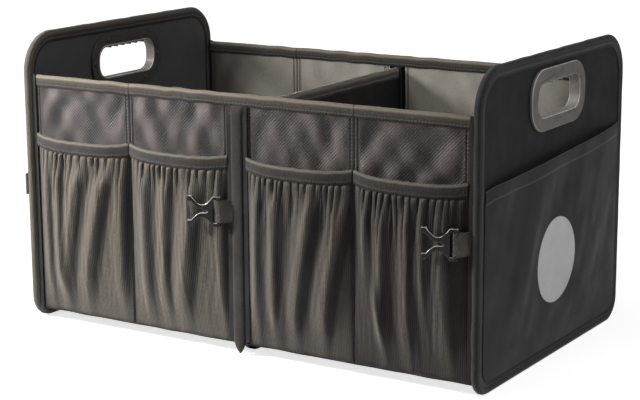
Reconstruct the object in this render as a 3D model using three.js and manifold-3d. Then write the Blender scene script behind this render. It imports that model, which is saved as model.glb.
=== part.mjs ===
// A folding storage box for a car boot, two compartments long, made of cloth over stiff boards.
//
// Two tall end panels with grip holes and one divider stand upright. The front and the back wall are each
// four stiff panels joined by cloth hinges. Each compartment folds like a bellows: its wall panels swing
// inwards and its end panel comes up to the divider. The front carries four gathered pockets, each end a flat
// one.
//
// Units are millimetres. X runs along the front, from left to right, Y from the front to the back and Z up.
// The origin lies on the floor under the middle of the divider.

import * as THREE from "three";
import { mergeVertices } from "three/addons/utils/BufferGeometryUtils.js";
import Module from "manifold-3d";

const wasm = await Module();
wasm.setup();

// Overall sizes
const boxLength = 600; // over the edge tapes of the two end panels
const boxDepth = 372; // over the front and back edges of an end panel
const endHeight = 346;
const wallTop = 298;
const wallBottom = 15; // the walls hang this far above the floor, between the panels that stand on it

// Boards, cloths and tapes
const endBoard = 6;
const wallBoard = 3;
const dividerBoard = 5;
const matThickness = 3;
const clothThickness = 1.2;
const tapeThickness = 0.9;
const tapeWidth = 14;
const fit = 0.3; // gap between pieces that are sewn or pressed together
const foldGap = 0.8; // gap between two wall panels at their cloth hinge

// End panels
const endTopRadius = 46;
const endBottomRadius = 28;
const wallSetback = 8; // from the edge of an end panel to the outer face of a wall

// Divider and the bound seams that hold it to the walls
const dividerTop = 283;
const dividerRadius = 28; // of its two lower corners
const seamBandWidth = 17;
const seamCrown = 2.4;
const seamBottom = 8;

// Base mats
const matSideGap = 6; // from a mat to the wall beside it
const matEndGap = 1.5; // from a mat to the end panel

// Gathered pockets on the front
const pocketTop = 229;
const pocketBulge = 18;
const pocketPleats = 9;
const pleatDepth = 4;
const hemHeight = 15;
const hemThickness = 1.4;
const hemSag = 4;
const pocketEdge = 1; // from the end of a wall panel to the side seam of its pocket

// Flat pockets on the ends
const endPocketFrontTop = 222;
const endPocketBackTop = 240;
const endPocketBulge = 8;
const endHemHeight = 15;
const endHemFold = 0.8; // extra thickness where the top edge is folded over

// Grip holes
const gripMargin = 3; // from the edge tape down to the frame round the hole
const gripLength = 108;
const gripOpening = 38;
const gripCornerRadius = 15;
const gripFlange = 15; // width of the frame round the hole
const gripFlangeThickness = 3.5;
const gripBackingThickness = 3;
const gripSleeve = 2.5; // wall of the lining that runs through the board
const fingerRibs = 6;
const fingerRibRadius = 3;
const pegRadius = 3;
const pegHeight = 1.2;

// Straps and side release buckles
const webbingWidth = 25;
const webbingThickness = 1.2;
const strapHeight = 166; // from the floor to the middle of each strap
const strapReach = 17; // from the seam to the buckle
const loopTaper = 6; // over which the two layers of a strap part round the bar of its buckle
const buckleLength = 39;
const buckleWidth = 34;
const buckleThickness = 4.5;
const buckleBar = 4;
const buckleSlot = 4.6;
const buckleSlotWall = 2; // behind the slot
const buckleCorner = 1;
const buckleBase = 15; // the solid part, with the slot in it
const buckleWaist = 14; // where the plug is narrowest
const prongWidth = 6.5; // at the tip
const prongBarb = 5; // length of the straight tip
const prongGap = 3.2; // between the roots of the prongs
const prongCurve = 1.8; // how suddenly the prongs turn outwards
const prongSteps = 7;
const socketLength = 34;
const socketThickness = 10;
const socketCorner = 1.5;
const socketWall = 1.8;
const socketMouthDepth = 20;
const socketWindowInset = 2; // from the bottom of the mouth to the windows
const overcut = 1; // how far a cutting block stands out of what it cuts
const centreStrapSlant = 17; // degrees that a strap leans away from what it is sewn to
const rightStrapSlant = 14;
const leftStrapSlant = 18;
const rightStrapInset = 3; // from the outside of the right end to the seam of its strap
const leftStrapInset = 1; // from the front edge of the left end to the seam of its strap

// Reflecting disc on the right end pocket
const discRadius = 48;
const discHeight = 114;
const discSetback = -8; // how far behind the middle of the end panel the disc lies
const discThickness = 0.8;

// Places that follow from the sizes
const tapeBuild = tapeThickness + fit;
const endOuter = boxLength / 2;
const boardOuter = endOuter - tapeBuild;
const boardInner = boardOuter - endBoard;
const endInner = boardInner - tapeBuild;
const endEdge = boxDepth / 2;
const wallOuter = endEdge - wallSetback;
const wallInner = wallOuter - wallBoard;
const dividerHalf = dividerBoard / 2;
const tapedWall = wallBoard + 2 * tapeBuild;
const hingeLine = wallOuter + tapeBuild; // the hinges lie in the plane of the taped wall's outer face
const hingeRoom = tapedWall + 2 * fit; // what the end of a wall panel needs as it swings
const dividerHinge = dividerHalf + matThickness + tapedWall + tapeBuild;
const endHinge = endInner - hingeRoom;
const foldHinge = (dividerHinge + endHinge) / 2;
const matHinge = dividerHalf + tapeBuild + fit + matThickness;
const gripHeight = endHeight - tapeWidth - gripMargin - gripFlange - gripOpening / 2; // middle of the hole

const materials = {
  wallCloth: clothMaterial(0x35322f, 0.9),
  endCloth: clothMaterial(0x1b1a1b, 0.75),
  pocketCloth: clothMaterial(0x3e3a36, 0.85),
  tape: clothMaterial(0x3a362f, 0.9),
  webbing: clothMaterial(0x26241f, 0.95),
  matCloth: clothMaterial(0x1f1e1e, 0.9),
  gripPlastic: new THREE.MeshStandardMaterial({ color: 0x4a4743, roughness: 0.45, metalness: 0 }),
  bucklePlastic: new THREE.MeshStandardMaterial({ color: 0x1d1b19, roughness: 0.35, metalness: 0 }),
  reflector: new THREE.MeshStandardMaterial({ color: 0x8d8c8c, roughness: 0.4, metalness: 0.3 }),
};

function clothMaterial(color, roughness) {
  return new THREE.MeshStandardMaterial({ color, roughness, metalness: 0 });
}

// Solids and meshes

// Merges the shared vertices of a shape and turns its faces outwards.
function closed(geometry) {
  const bare = geometry.clone();
  bare.deleteAttribute("normal");
  bare.deleteAttribute("uv");
  const merged = mergeVertices(bare, 1e-4);
  if (signedVolume(merged) < 0) {
    const index = merged.index.array;
    for (let i = 0; i < index.length; i += 3) {
      [index[i + 1], index[i + 2]] = [index[i + 2], index[i + 1]];
    }
  }
  merged.computeVertexNormals();
  return merged;
}

function signedVolume(geometry) {
  const { position } = geometry.attributes;
  const corner = (i) => new THREE.Vector3().fromBufferAttribute(position, geometry.index.array[i]);
  let sum = 0;
  for (let i = 0; i < geometry.index.count; i += 3) {
    sum += corner(i).dot(corner(i + 1).cross(corner(i + 2)));
  }
  return sum / 6;
}

function solidOf(geometry) {
  const merged = closed(geometry);
  const vertProperties = new Float32Array(merged.attributes.position.array);
  const triVerts = new Uint32Array(merged.index.array);
  return new wasm.Manifold(new wasm.Mesh({ numProp: 3, vertProperties, triVerts }));
}

function geometryOf(solid) {
  const mesh = solid.getMesh();
  return meshGeometry(mesh.vertProperties, Array.from(mesh.triVerts));
}

function meshGeometry(positions, indices) {
  const geometry = new THREE.BufferGeometry();
  geometry.setAttribute("position", new THREE.Float32BufferAttribute(positions, 3));
  geometry.setIndex(indices);
  return geometry;
}

function add(group, name, geometry, material) {
  const mesh = new THREE.Mesh(closed(geometry), material);
  mesh.name = name;
  group.add(mesh);
}

// Shapes are drawn for the front right quarter of the box. side is 1 on the right and -1 on the left, and way
// is 1 at the front and -1 at the back.
function mirrored(geometry, side, way = 1) {
  return geometry.clone().scale(side, way, 1);
}

function block(x0, x1, y0, y1, z0, z1) {
  const geometry = new THREE.BoxGeometry(x1 - x0, y1 - y0, z1 - z0);
  geometry.translate((x0 + x1) / 2, (y0 + y1) / 2, (z0 + z1) / 2);
  return geometry;
}

// An outline drawn in Y and Z, made solid from x0 to x1.
function alongX(shape, x0, x1, curveSegments = 5) {
  const geometry = new THREE.ExtrudeGeometry(shape, { depth: x1 - x0, bevelEnabled: false, curveSegments });
  const axes = new THREE.Matrix4().makeBasis(
    new THREE.Vector3(0, 1, 0),
    new THREE.Vector3(0, 0, 1),
    new THREE.Vector3(1, 0, 0),
  );
  geometry.applyMatrix4(axes);
  geometry.translate(x0, 0, 0);
  return geometry;
}

// An outline drawn in X and Z, made solid from y0 to y1.
function alongY(shape, y0, y1, curveSegments = 5) {
  const geometry = new THREE.ExtrudeGeometry(shape, { depth: y1 - y0, bevelEnabled: false, curveSegments });
  geometry.rotateX(Math.PI / 2);
  geometry.translate(0, y1, 0);
  return geometry;
}

// An outline drawn in X and Y, made solid from z0 to z1.
function alongZ(shape, z0, z1, curveSegments = 5) {
  const geometry = new THREE.ExtrudeGeometry(shape, { depth: z1 - z0, bevelEnabled: false, curveSegments });
  geometry.translate(0, 0, z0);
  return geometry;
}

function outline(points, Outline = THREE.Shape) {
  return new Outline(points.map(([u, v]) => new THREE.Vector2(u, v)));
}

// A rectangle with one radius for its lower corners and one for its upper corners.
function roundedOutline(u0, u1, v0, v1, lowerRadius, upperRadius, Outline = THREE.Shape) {
  const shape = new Outline();
  const quarter = Math.PI / 2;
  shape.absarc(u1 - lowerRadius, v0 + lowerRadius, lowerRadius, -quarter, 0);
  shape.absarc(u1 - upperRadius, v1 - upperRadius, upperRadius, 0, quarter);
  shape.absarc(u0 + upperRadius, v1 - upperRadius, upperRadius, quarter, 2 * quarter);
  shape.absarc(u0 + lowerRadius, v0 + lowerRadius, lowerRadius, 2 * quarter, 3 * quarter);
  shape.closePath();
  return shape;
}

// A thin sheet between two surfaces, each a function of u and v that gives a point, at the given stations.
function sheet(outer, inner, us, vs) {
  const positions = [];
  const indices = [];
  const stride = us.length;
  const layer = stride * vs.length;
  for (const surface of [outer, inner]) {
    for (const v of vs) {
      for (const u of us) positions.push(...surface(u, v));
    }
  }
  const quad = (a, b, c, d) => indices.push(a, b, c, a, c, d);
  for (let row = 0; row < vs.length - 1; row++) {
    for (let column = 0; column < stride - 1; column++) {
      const a = row * stride + column;
      quad(a, a + 1, a + stride + 1, a + stride);
      quad(layer + a, layer + a + stride, layer + a + stride + 1, layer + a + 1);
    }
  }
  const rim = [];
  for (let column = 0; column < stride - 1; column++) rim.push(column);
  for (let row = 0; row < vs.length - 1; row++) rim.push(row * stride + stride - 1);
  for (let column = stride - 1; column > 0; column--) rim.push(layer - stride + column);
  for (let row = vs.length - 1; row > 0; row--) rim.push(row * stride);
  rim.forEach((a, i) => {
    const b = rim[(i + 1) % rim.length];
    quad(b, a, layer + a, layer + b);
  });
  return meshGeometry(positions, indices);
}

function evenly(count) {
  return Array.from({ length: count + 1 }, (_, i) => i / count);
}

// A tape folded over the top edge of a board, drawn across the board, whose faces lie at low and high.
function foldedTape(low, high, top) {
  const foot = top - tapeWidth;
  const roof = top - tapeThickness;
  return outline([
    [low - tapeBuild, foot],
    [low - fit, foot],
    [low - fit, roof],
    [high + fit, roof],
    [high + fit, foot],
    [high + tapeBuild, foot],
    [high + tapeBuild, top],
    [low - tapeBuild, top],
  ]);
}

// How a pocket bulges: full in the middle, flat at its side seams and at its bottom seam.
const acrossPocket = (u) => 1 - (2 * u - 1) ** 4;
const upGatheredPocket = (v) => (1 - (1 - v) ** 3) * (1 - 0.15 * v);
const upFlatPocket = (v) => 1 - (1 - v) ** 5;

// Divider, standing on the floor, with its top tape and the bound seams at its front and back edges

function dividerOutline(reach, top) {
  const radius = dividerRadius;
  const shape = new THREE.Shape();
  shape.moveTo(reach, top);
  shape.lineTo(-reach, top);
  shape.absarc(radius - reach, radius, radius, Math.PI, 1.5 * Math.PI);
  shape.absarc(reach - radius, radius, radius, 1.5 * Math.PI, 2 * Math.PI);
  shape.closePath();
  return shape;
}

function buildDivider() {
  const group = new THREE.Group();
  const reach = wallInner - fit;
  const boardTop = dividerTop - tapeBuild;
  const board = alongX(dividerOutline(reach, boardTop), -dividerHalf, dividerHalf);
  add(group, "divider_panel", board, materials.endCloth);
  const tape = alongY(foldedTape(-dividerHalf, dividerHalf, dividerTop), -reach, reach);
  add(group, "divider_top_tape", tape, materials.tape);
  for (const [face, way] of [["front", 1], ["back", -1]]) {
    add(group, `${face}_centre_seam`, mirrored(centreSeam(), 1, way), materials.tape);
  }
  return group;
}

// A crowned band on the outside, thin flanges out to the hinges, and a web in between the wall panels.
function centreSeam() {
  const web = dividerHinge - hingeRoom;
  const flange = dividerHinge - fit;
  const band = seamBandWidth / 2;
  const near = hingeLine + fit;
  const far = near + tapeThickness;
  const crownRadius = (band ** 2 + seamCrown ** 2) / (2 * seamCrown);
  const crownCentre = -far - seamCrown + crownRadius;
  const halfAngle = Math.asin(band / crownRadius);
  const down = -Math.PI / 2;
  const leftHalf = [
    [web, -wallInner],
    [-web, -wallInner],
    [-web, -near],
    [-flange, -near],
    [-flange, -far],
  ];
  const shape = outline(leftHalf);
  shape.absarc(0, crownCentre, crownRadius, down - halfAngle, down + halfAngle);
  shape.lineTo(flange, -far);
  shape.lineTo(flange, -near);
  shape.lineTo(web, -near);
  return alongZ(shape, seamBottom, wallTop);
}

// Bottom cloth under each compartment, and the base mat that lies on it and lifts up against the divider

function buildFloor(side, name) {
  const group = new THREE.Group();
  const top = wallBottom - fit;
  const clothReach = wallInner - fit;
  const bottom = top - clothThickness;
  const cloth = block(dividerHalf + fit, endInner - fit, -clothReach, clothReach, bottom, top);
  add(group, `${name}_bottom_cloth`, mirrored(cloth, side), materials.wallCloth);
  const reach = wallInner - matSideGap;
  const matTop = wallBottom + matThickness;
  const mat = block(matHinge + fit, endInner - matEndGap, -reach, reach, wallBottom, matTop);
  add(group, `${name}_base_mat`, mirrored(mat, side), materials.matCloth);
  return group;
}

// Walls: four panels along the front and four along the back, each with its top tape

const bays = {
  inner: [dividerHinge, foldHinge - foldGap / 2],
  outer: [foldHinge + foldGap / 2, endHinge],
};

function buildWall(side, way, bay, name) {
  const group = new THREE.Group();
  const [x0, x1] = bays[bay];
  const board = block(x0, x1, -wallOuter, -wallInner, wallBottom, wallTop - tapeBuild);
  add(group, `${name}_wall`, mirrored(board, side, way), materials.wallCloth);
  const tape = alongX(foldedTape(-wallOuter, -wallInner, wallTop), x0, x1);
  add(group, `${name}_top_tape`, mirrored(tape, side, way), materials.tape);
  return group;
}

// Gathered pocket on the outside of a front wall panel, and the elastic hem along its top

function buildFrontPocket(side, bay, name, phase) {
  const group = new THREE.Group();
  const x0 = bays[bay][0] + pocketEdge;
  const x1 = bays[bay][1] - pocketEdge;
  const z0 = wallBottom + fit;
  const height = pocketTop - z0;
  const hemStart = 1 - hemHeight / height;
  const rows = [0, 0.1, 0.26, 0.46, 0.7, hemStart, hemStart + fit / height, 1];

  // The cloth runs flat under the hem and gathers below it, less and less towards the bottom.
  const gathers = (u, v) => {
    const fading = v > hemStart ? 0 : 0.3 + (0.7 * v) / hemStart;
    const wave = Math.cos(2 * Math.PI * pocketPleats * u) + 0.6 * Math.cos(2 * Math.PI * 2 * u + phase);
    return -pleatDepth * fading * Math.max(0, 0.4 + 0.5 * wave);
  };
  const face = (extra) => (u, v) => {
    const full = acrossPocket(u) * upGatheredPocket(v);
    const out = Math.max(0, (pocketBulge + gathers(u, v)) * full);
    const sag = hemSag * acrossPocket(u) * v ** 3;
    return [x0 + (x1 - x0) * u, -(wallOuter + fit + out + extra), z0 + height * v - sag];
  };
  const cloth = sheet(face(clothThickness), face(0), evenly(4 * pocketPleats), rows);
  add(group, `${name}_pocket`, mirrored(cloth, side), materials.pocketCloth);

  const hemFace = (extra) => (u, v) => face(extra)(u, 1 - (1 - v) * (1 - hemStart - fit / height));
  const hemInner = clothThickness + fit;
  const hem = sheet(hemFace(hemInner + hemThickness), hemFace(hemInner), evenly(2 * pocketPleats), [0, 1]);
  add(group, `${name}_pocket_hem`, mirrored(hem, side), materials.tape);
  return group;
}

// End panel with its edge tape, corner seams, grip frames and flat pocket

function endOutline(inset, Outline = THREE.Shape) {
  const edge = endEdge - inset;
  const lower = endBottomRadius - inset;
  const upper = endTopRadius - inset;
  return roundedOutline(-edge, edge, inset, endHeight - inset, lower, upper, Outline);
}

function buildEnd(side, name) {
  const group = new THREE.Group();
  const board = endOutline(tapeBuild);
  board.holes.push(gripOutline(gripSleeve + fit, THREE.Path));
  add(group, `${name}_end_panel`, mirrored(alongX(board, boardInner, boardOuter), side), materials.endCloth);
  add(group, `${name}_edge_tape`, mirrored(edgeTape(), side), materials.tape);
  const near = hingeLine + fit;
  const seam = block(endHinge + fit, endInner - fit, -near - tapeThickness, -near, wallBottom, wallTop);
  for (const [face, way] of [["front", 1], ["back", -1]]) {
    add(group, `${name}_${face}_corner_seam`, mirrored(seam, side, way), materials.tape);
  }
  add(group, `${name}_grip_frame`, mirrored(gripFrame(), side), materials.gripPlastic);
  add(group, `${name}_grip_backing`, mirrored(gripBacking(), side), materials.gripPlastic);
  add(group, `${name}_end_pocket`, mirrored(endPocket(), side), materials.endCloth);
  return group;
}

// A tape folded over the whole edge of the board: two flat rings joined by a rim.
function edgeTape() {
  const ring = endOutline(0);
  ring.holes.push(endOutline(tapeWidth, THREE.Path));
  const whole = solidOf(alongX(ring, endInner, endOuter));
  const core = solidOf(alongX(endOutline(tapeThickness), boardInner - fit, boardOuter + fit));
  return geometryOf(whole.subtract(core));
}

function gripOutline(outset, Outline = THREE.Shape) {
  const length = gripLength / 2 + outset;
  const height = gripOpening / 2 + outset;
  const radius = gripCornerRadius + outset;
  return roundedOutline(-length, length, gripHeight - height, gripHeight + height, radius, radius, Outline);
}

// The frame on the outside, the lining that runs through the board, and the ribs under the upper edge.
function gripFrame() {
  const flange = gripOutline(gripFlange);
  flange.holes.push(gripOutline(0, THREE.Path));
  const sleeve = gripOutline(gripSleeve);
  sleeve.holes.push(gripOutline(0, THREE.Path));
  const start = boardInner - fit - gripBackingThickness;
  const end = boardOuter + fit + gripFlangeThickness;
  let frame = solidOf(alongX(flange, boardOuter + fit, end)).add(solidOf(alongX(sleeve, start, end)));
  const pitch = (gripLength - 2 * gripCornerRadius) / fingerRibs;
  const top = gripHeight + gripOpening / 2;
  const inWall = gripSleeve / 2;
  const belowTop = solidOf(block(start, end, -gripLength, gripLength, gripHeight, top + inWall));
  for (let i = 0; i < fingerRibs; i++) {
    const rib = new THREE.CylinderGeometry(fingerRibRadius, fingerRibRadius, end - start, 10);
    rib.rotateZ(Math.PI / 2);
    rib.translate((start + end) / 2, (i - (fingerRibs - 1) / 2) * pitch, top + inWall);
    frame = frame.add(solidOf(rib).intersect(belowTop));
  }
  return geometryOf(frame);
}

// The ring on the inside of the board, with the heads of the six pegs that hold the two halves together.
function gripBacking() {
  const shape = gripOutline(gripFlange);
  shape.holes.push(gripOutline(gripSleeve + fit, THREE.Path));
  const face = boardInner - fit - gripBackingThickness;
  let ring = solidOf(alongX(shape, face, boardInner - fit));
  const margin = (gripFlange + gripSleeve) / 2;
  const across = gripLength / 2 + margin;
  const up = gripOpening / 2 + margin;
  const third = gripLength / 3;
  const root = gripBackingThickness / 2;
  for (const [y, z] of [[-across, 0], [across, 0], [-third, up], [third, up], [-third, -up], [third, -up]]) {
    const head = new THREE.CylinderGeometry(pegRadius, pegRadius, pegHeight + root, 12);
    head.rotateZ(Math.PI / 2);
    head.translate(face + (root - pegHeight) / 2, y, gripHeight + z);
    ring = ring.add(solidOf(head));
  }
  return geometryOf(ring);
}

// The flat pocket fits inside the edge tape, where u and v run from 0 to 1 across and up the pocket.
const endPocketHalf = endEdge - tapeWidth - fit;
const endPocketBottom = tapeWidth + fit;
const endPocketTop = (u) => endPocketFrontTop + (endPocketBackTop - endPocketFrontTop) * u;

function endPocketFace(u, v) {
  return boardOuter + fit + clothThickness + endPocketBulge * acrossPocket(u) * upFlatPocket(v);
}

function endPocket() {
  const radius = endBottomRadius - tapeWidth;
  const height = endPocketTop(0.5) - endPocketBottom;
  const hemStart = 1 - endHemHeight / height;
  const corner = [0, 0.1, 0.3, 0.6, 1].map((share) => (share * radius) / height);
  const rows = [...corner, 0.16, 0.3, 0.5, 0.75, hemStart, hemStart + fit / height, 1];
  const face = (depth) => (u, v) => {
    const rise = Math.min(radius, v * height);
    const tuck = radius - Math.sqrt(radius ** 2 - (radius - rise) ** 2);
    const half = endPocketHalf - tuck;
    const hem = v > hemStart && depth === 0 ? endHemFold : 0;
    const z = endPocketBottom + v * (endPocketTop(u) - endPocketBottom);
    return [endPocketFace(u, v) + hem - depth, -half + 2 * half * u, z];
  };
  return sheet(face(0), face(clothThickness), evenly(16), rows);
}

// Reflecting disc, lying on the curved face of the right end pocket

function reflectingDisc() {
  const face = (extra) => (u, v) => {
    const angle = 2 * Math.PI * u;
    const y = discSetback + discRadius * v * Math.cos(angle);
    const z = discHeight + discRadius * v * Math.sin(angle);
    const across = (y + endPocketHalf) / (2 * endPocketHalf);
    const up = (z - endPocketBottom) / (endPocketTop(across) - endPocketBottom);
    return [endPocketFace(across, up) + fit + extra, y, z];
  };
  return discOf(face(discThickness), face(0), 32, [0.34, 0.67, 1]);
}

// A closed disc between two surfaces that are given round the disc, u, and out from its middle, v.
function discOf(outer, inner, spokes, rings) {
  const positions = [];
  const indices = [];
  const layer = 1 + spokes * rings.length;
  for (const surface of [outer, inner]) {
    positions.push(...surface(0, 0));
    for (const v of rings) {
      for (let spoke = 0; spoke < spokes; spoke++) positions.push(...surface(spoke / spokes, v));
    }
  }
  const at = (ring, spoke) => 1 + ring * spokes + (spoke % spokes);
  const rim = rings.length - 1;
  for (let spoke = 0; spoke < spokes; spoke++) {
    indices.push(0, at(0, spoke), at(0, spoke + 1));
    indices.push(layer, layer + at(0, spoke + 1), layer + at(0, spoke));
    for (let ring = 0; ring < rim; ring++) {
      const [a, b] = [at(ring, spoke), at(ring + 1, spoke)];
      const [c, d] = [at(ring + 1, spoke + 1), at(ring, spoke + 1)];
      indices.push(a, b, c, a, c, d);
      indices.push(layer + a, layer + c, layer + b, layer + a, layer + d, layer + c);
    }
    const [a, b] = [at(rim, spoke), at(rim, spoke + 1)];
    indices.push(a, layer + a, layer + b, a, layer + b, b);
  }
  return meshGeometry(positions, indices);
}

// Straps and buckles, drawn along X from the seam, with Y through the buckle and Z across it

// Webbing that runs from the seam through the slot of a buckle, round its bar and back to the seam.
function strapLoop() {
  const inside = buckleThickness / 2 + fit;
  const outside = inside + webbingThickness;
  const barNear = strapReach - fit;
  const barFar = strapReach + buckleBar + fit;
  const parting = barNear - loopTaper;
  const upper = [
    [0, webbingThickness],
    [parting - webbingThickness, webbingThickness],
    [barNear - webbingThickness / 2, outside],
    [barFar + webbingThickness / 2, outside],
    [barFar + webbingThickness, outside - webbingThickness / 2],
  ];
  const lower = upper.map(([s, t]) => [s, -t]).reverse();
  const eye = [
    [parting, 0],
    [barNear, -inside],
    [barFar, -inside],
    [barFar, inside],
    [barNear, inside],
  ];
  const shape = outline([...upper, ...lower]);
  shape.holes.push(outline(eye, THREE.Path));
  return alongZ(shape, -webbingWidth / 2, webbingWidth / 2);
}

function buckleSlotOutline() {
  const half = webbingWidth / 2 + 2 * fit;
  const start = strapReach + buckleBar;
  return roundedOutline(start, start + buckleSlot, -half, half, buckleCorner, buckleCorner, THREE.Path);
}

// An outline drawn along and across a buckle, made solid through its thickness.
function buckleSolid(shape) {
  const geometry = alongZ(shape, -buckleThickness / 2, buckleThickness / 2, 3);
  return geometry.rotateX(Math.PI / 2);
}

// The half with two springy prongs, which part behind a waist and curve outwards.
function plug() {
  const half = buckleWidth / 2;
  const waist = buckleWaist / 2;
  const gap = prongGap / 2;
  const start = strapReach;
  const shoulder = start + buckleBar + buckleSlot;
  const root = start + buckleBase;
  const tip = start + buckleLength;
  const barb = tip - prongBarb;
  const middle = (shoulder + barb) / 2;
  const corner = buckleCorner;
  const share = (s) => Math.min(1, Math.abs(s - middle) / (barb - middle)) ** prongCurve;
  const outer = (s) => waist + (half - waist) * share(s);
  const inner = (s) => gap + (half - prongWidth - gap) * share(s);
  const along = (from, to, width) => evenly(prongSteps).map((t) => {
    const s = from + (to - from) * t;
    return [s, width(s)];
  });
  const upper = [
    [start, half - corner],
    [start + corner, half],
    ...along(shoulder, barb, outer),
    [tip - corner, half],
    [tip, half - corner],
    [tip, half - prongWidth + corner],
    [tip - corner, half - prongWidth],
    ...along(barb, middle, inner),
    [root + gap, gap],
    [root, gap / 2],
  ];
  const lower = upper.map(([s, w]) => [s, -w]).reverse();
  const shape = outline([...upper, ...lower]);
  shape.holes.push(buckleSlotOutline());
  return buckleSolid(shape);
}

// The hollow half that the prongs snap into, with a window in each side.
function socket() {
  const half = buckleWidth / 2;
  const start = strapReach;
  const bodyStart = start + buckleBar + buckleSlot + buckleSlotWall;
  const end = start + socketLength;
  const plate = roundedOutline(start, bodyStart + buckleSlotWall, -half, half, socketCorner, socketCorner);
  plate.holes.push(buckleSlotOutline());
  const body = solidOf(block(bodyStart, end, -socketThickness / 2, socketThickness / 2, -half, half));
  const mouth = socketThickness / 2 - socketWall;
  const across = half - socketWall;
  const bottom = end - socketMouthDepth;
  const hollow = solidOf(block(bottom, end + overcut, -mouth, mouth, -across, across));
  const through = half + overcut;
  const window = block(bottom + socketWindowInset, end - prongWidth, -mouth, mouth, -through, through);
  const windows = solidOf(window);
  return geometryOf(solidOf(buckleSolid(plate)).add(body).subtract(hollow).subtract(windows));
}

// Turns a strap with its buckle to its direction about the vertical, and moves its start to a seam.
function buildStrap(name, buckleName, buckle, degrees, x, y) {
  const group = new THREE.Group();
  const turn = THREE.MathUtils.degToRad(degrees);
  const toSeam = (geometry) => geometry.rotateZ(turn).translate(x, y, strapHeight);
  add(group, `${name}_strap`, toSeam(strapLoop()), materials.webbing);
  add(group, buckleName, toSeam(buckle), materials.bucklePlastic);
  return group;
}

// The centre and right straps point left along the front, the left one lies along the left end.
function buildStraps() {
  const group = new THREE.Group();
  const standOff = fit + webbingThickness;
  const seamFace = hingeLine + fit + tapeThickness + seamCrown;
  const centreY = -seamFace - standOff;
  const rightX = endOuter - rightStrapInset;
  const rightY = -endEdge - standOff;
  const leftX = -endOuter - standOff;
  const leftY = leftStrapInset - endEdge;
  const centreTurn = 180 + centreStrapSlant;
  const rightTurn = 180 + rightStrapSlant;
  const leftTurn = 90 + leftStrapSlant;
  group.add(buildStrap("centre", "centre_buckle_plug", plug(), centreTurn, 0, centreY));
  group.add(buildStrap("right", "right_buckle_plug", plug(), rightTurn, rightX, rightY));
  group.add(buildStrap("left", "left_buckle_socket", socket(), leftTurn, leftX, leftY));
  return group;
}

function buildBox() {
  const box = new THREE.Group();
  box.add(buildDivider(), buildStraps());
  for (const [sideName, side] of [["left", -1], ["right", 1]]) {
    box.add(buildFloor(side, sideName), buildEnd(side, sideName));
    Object.keys(bays).forEach((bay, i) => {
      box.add(buildWall(side, 1, bay, `front_${sideName}_${bay}`));
      box.add(buildWall(side, -1, bay, `back_${sideName}_${bay}`));
      box.add(buildFrontPocket(side, bay, `${sideName}_${bay}`, side + 2 * i));
    });
  }
  add(box, "reflecting_disc", reflectingDisc(), materials.reflector);
  return box;
}

export default buildBox();
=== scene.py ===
"""Dresses the folding storage box: cloth over boards, gathered pockets, bindings, grips and buckles."""
import logging
import math
from collections.abc import Sequence
from dataclasses import dataclass, replace
from enum import Enum

import bpy
import numpy as np
from mathutils import Matrix, Vector


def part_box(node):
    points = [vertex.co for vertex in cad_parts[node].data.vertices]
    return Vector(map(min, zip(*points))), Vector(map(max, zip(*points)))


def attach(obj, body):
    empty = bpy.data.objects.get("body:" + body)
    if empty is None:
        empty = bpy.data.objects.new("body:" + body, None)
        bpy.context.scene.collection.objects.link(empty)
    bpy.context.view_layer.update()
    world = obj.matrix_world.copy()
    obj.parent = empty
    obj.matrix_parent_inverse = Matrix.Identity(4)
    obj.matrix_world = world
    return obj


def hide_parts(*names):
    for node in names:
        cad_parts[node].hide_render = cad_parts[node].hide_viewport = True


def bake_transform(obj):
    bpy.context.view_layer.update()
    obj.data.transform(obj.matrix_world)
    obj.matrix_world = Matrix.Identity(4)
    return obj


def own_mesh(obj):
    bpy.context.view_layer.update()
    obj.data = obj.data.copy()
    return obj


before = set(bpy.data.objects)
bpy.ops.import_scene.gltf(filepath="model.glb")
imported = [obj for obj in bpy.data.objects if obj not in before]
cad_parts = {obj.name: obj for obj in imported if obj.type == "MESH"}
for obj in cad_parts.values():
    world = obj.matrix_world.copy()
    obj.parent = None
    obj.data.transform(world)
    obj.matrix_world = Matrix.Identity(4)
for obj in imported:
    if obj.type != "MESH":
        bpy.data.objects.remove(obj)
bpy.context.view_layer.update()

LOG = logging.getLogger("storage_box")
MM = 0.001
UV_NAME = "cloth"
SHADE_NAME = "shade"
GATHER = 1.35
Array = np.ndarray
Colour = tuple[float, ...]
Material = bpy.types.Material
Socket = bpy.types.NodeSocket
Piece = bpy.types.Object


class Named(Enum):
    """A choice whose word stands in the names of nodes and bodies."""

    @property
    def word(self) -> str:
        """The choice's word."""
        return self.name.lower()


class Side(Named):
    """The two compartments, and the way along X that each lies."""

    LEFT = -1
    RIGHT = 1


class Face(Named):
    """The two long walls, and the way along Y that each lies."""

    FRONT = -1
    BACK = 1


class Bay(Named):
    """The wall panel next to the divider, and the one next to the end panel."""

    INNER = 1
    OUTER = 2


class Weave(Enum):
    """How a cloth is woven, by the name of its effect."""

    PLAIN = "woven"
    RIBBED = "ribbed"


class Plane(Enum):
    """Where a pattern lies: in the piece's own map, or in two of the object's axes."""

    MAP = ()
    XY = (0, 1)
    XZ = (0, 2)
    YZ = (1, 2)


def linear(colour: tuple[int, int, int]) -> Colour:
    """Turns a colour as seen on a screen, from 0 to 255, into the shader's colour."""
    parts = [c / 255 for c in colour]
    return tuple(c / 12.92 if c < 0.04045 else ((c + 0.055) / 1.055) ** 2.4 for c in parts) + (1.0,)


def scaled(colour: Colour, factor: float, more: float = 0.0) -> Colour:
    """Makes a shader's colour brighter or darker."""
    return tuple(min(1.0, c * factor + more) for c in colour[:3]) + (1.0,)


def ease(low: float, high: float, value: Array) -> Array:
    """A smooth step from 0 at low to 1 at high."""
    t = np.clip((value - low) / (high - low), 0, 1)
    return t * t * (3 - 2 * t)


def hump(value: Array, width: float) -> Array:
    """A bell of height 1 round zero."""
    return np.exp(-((value / width) ** 2))


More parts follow.
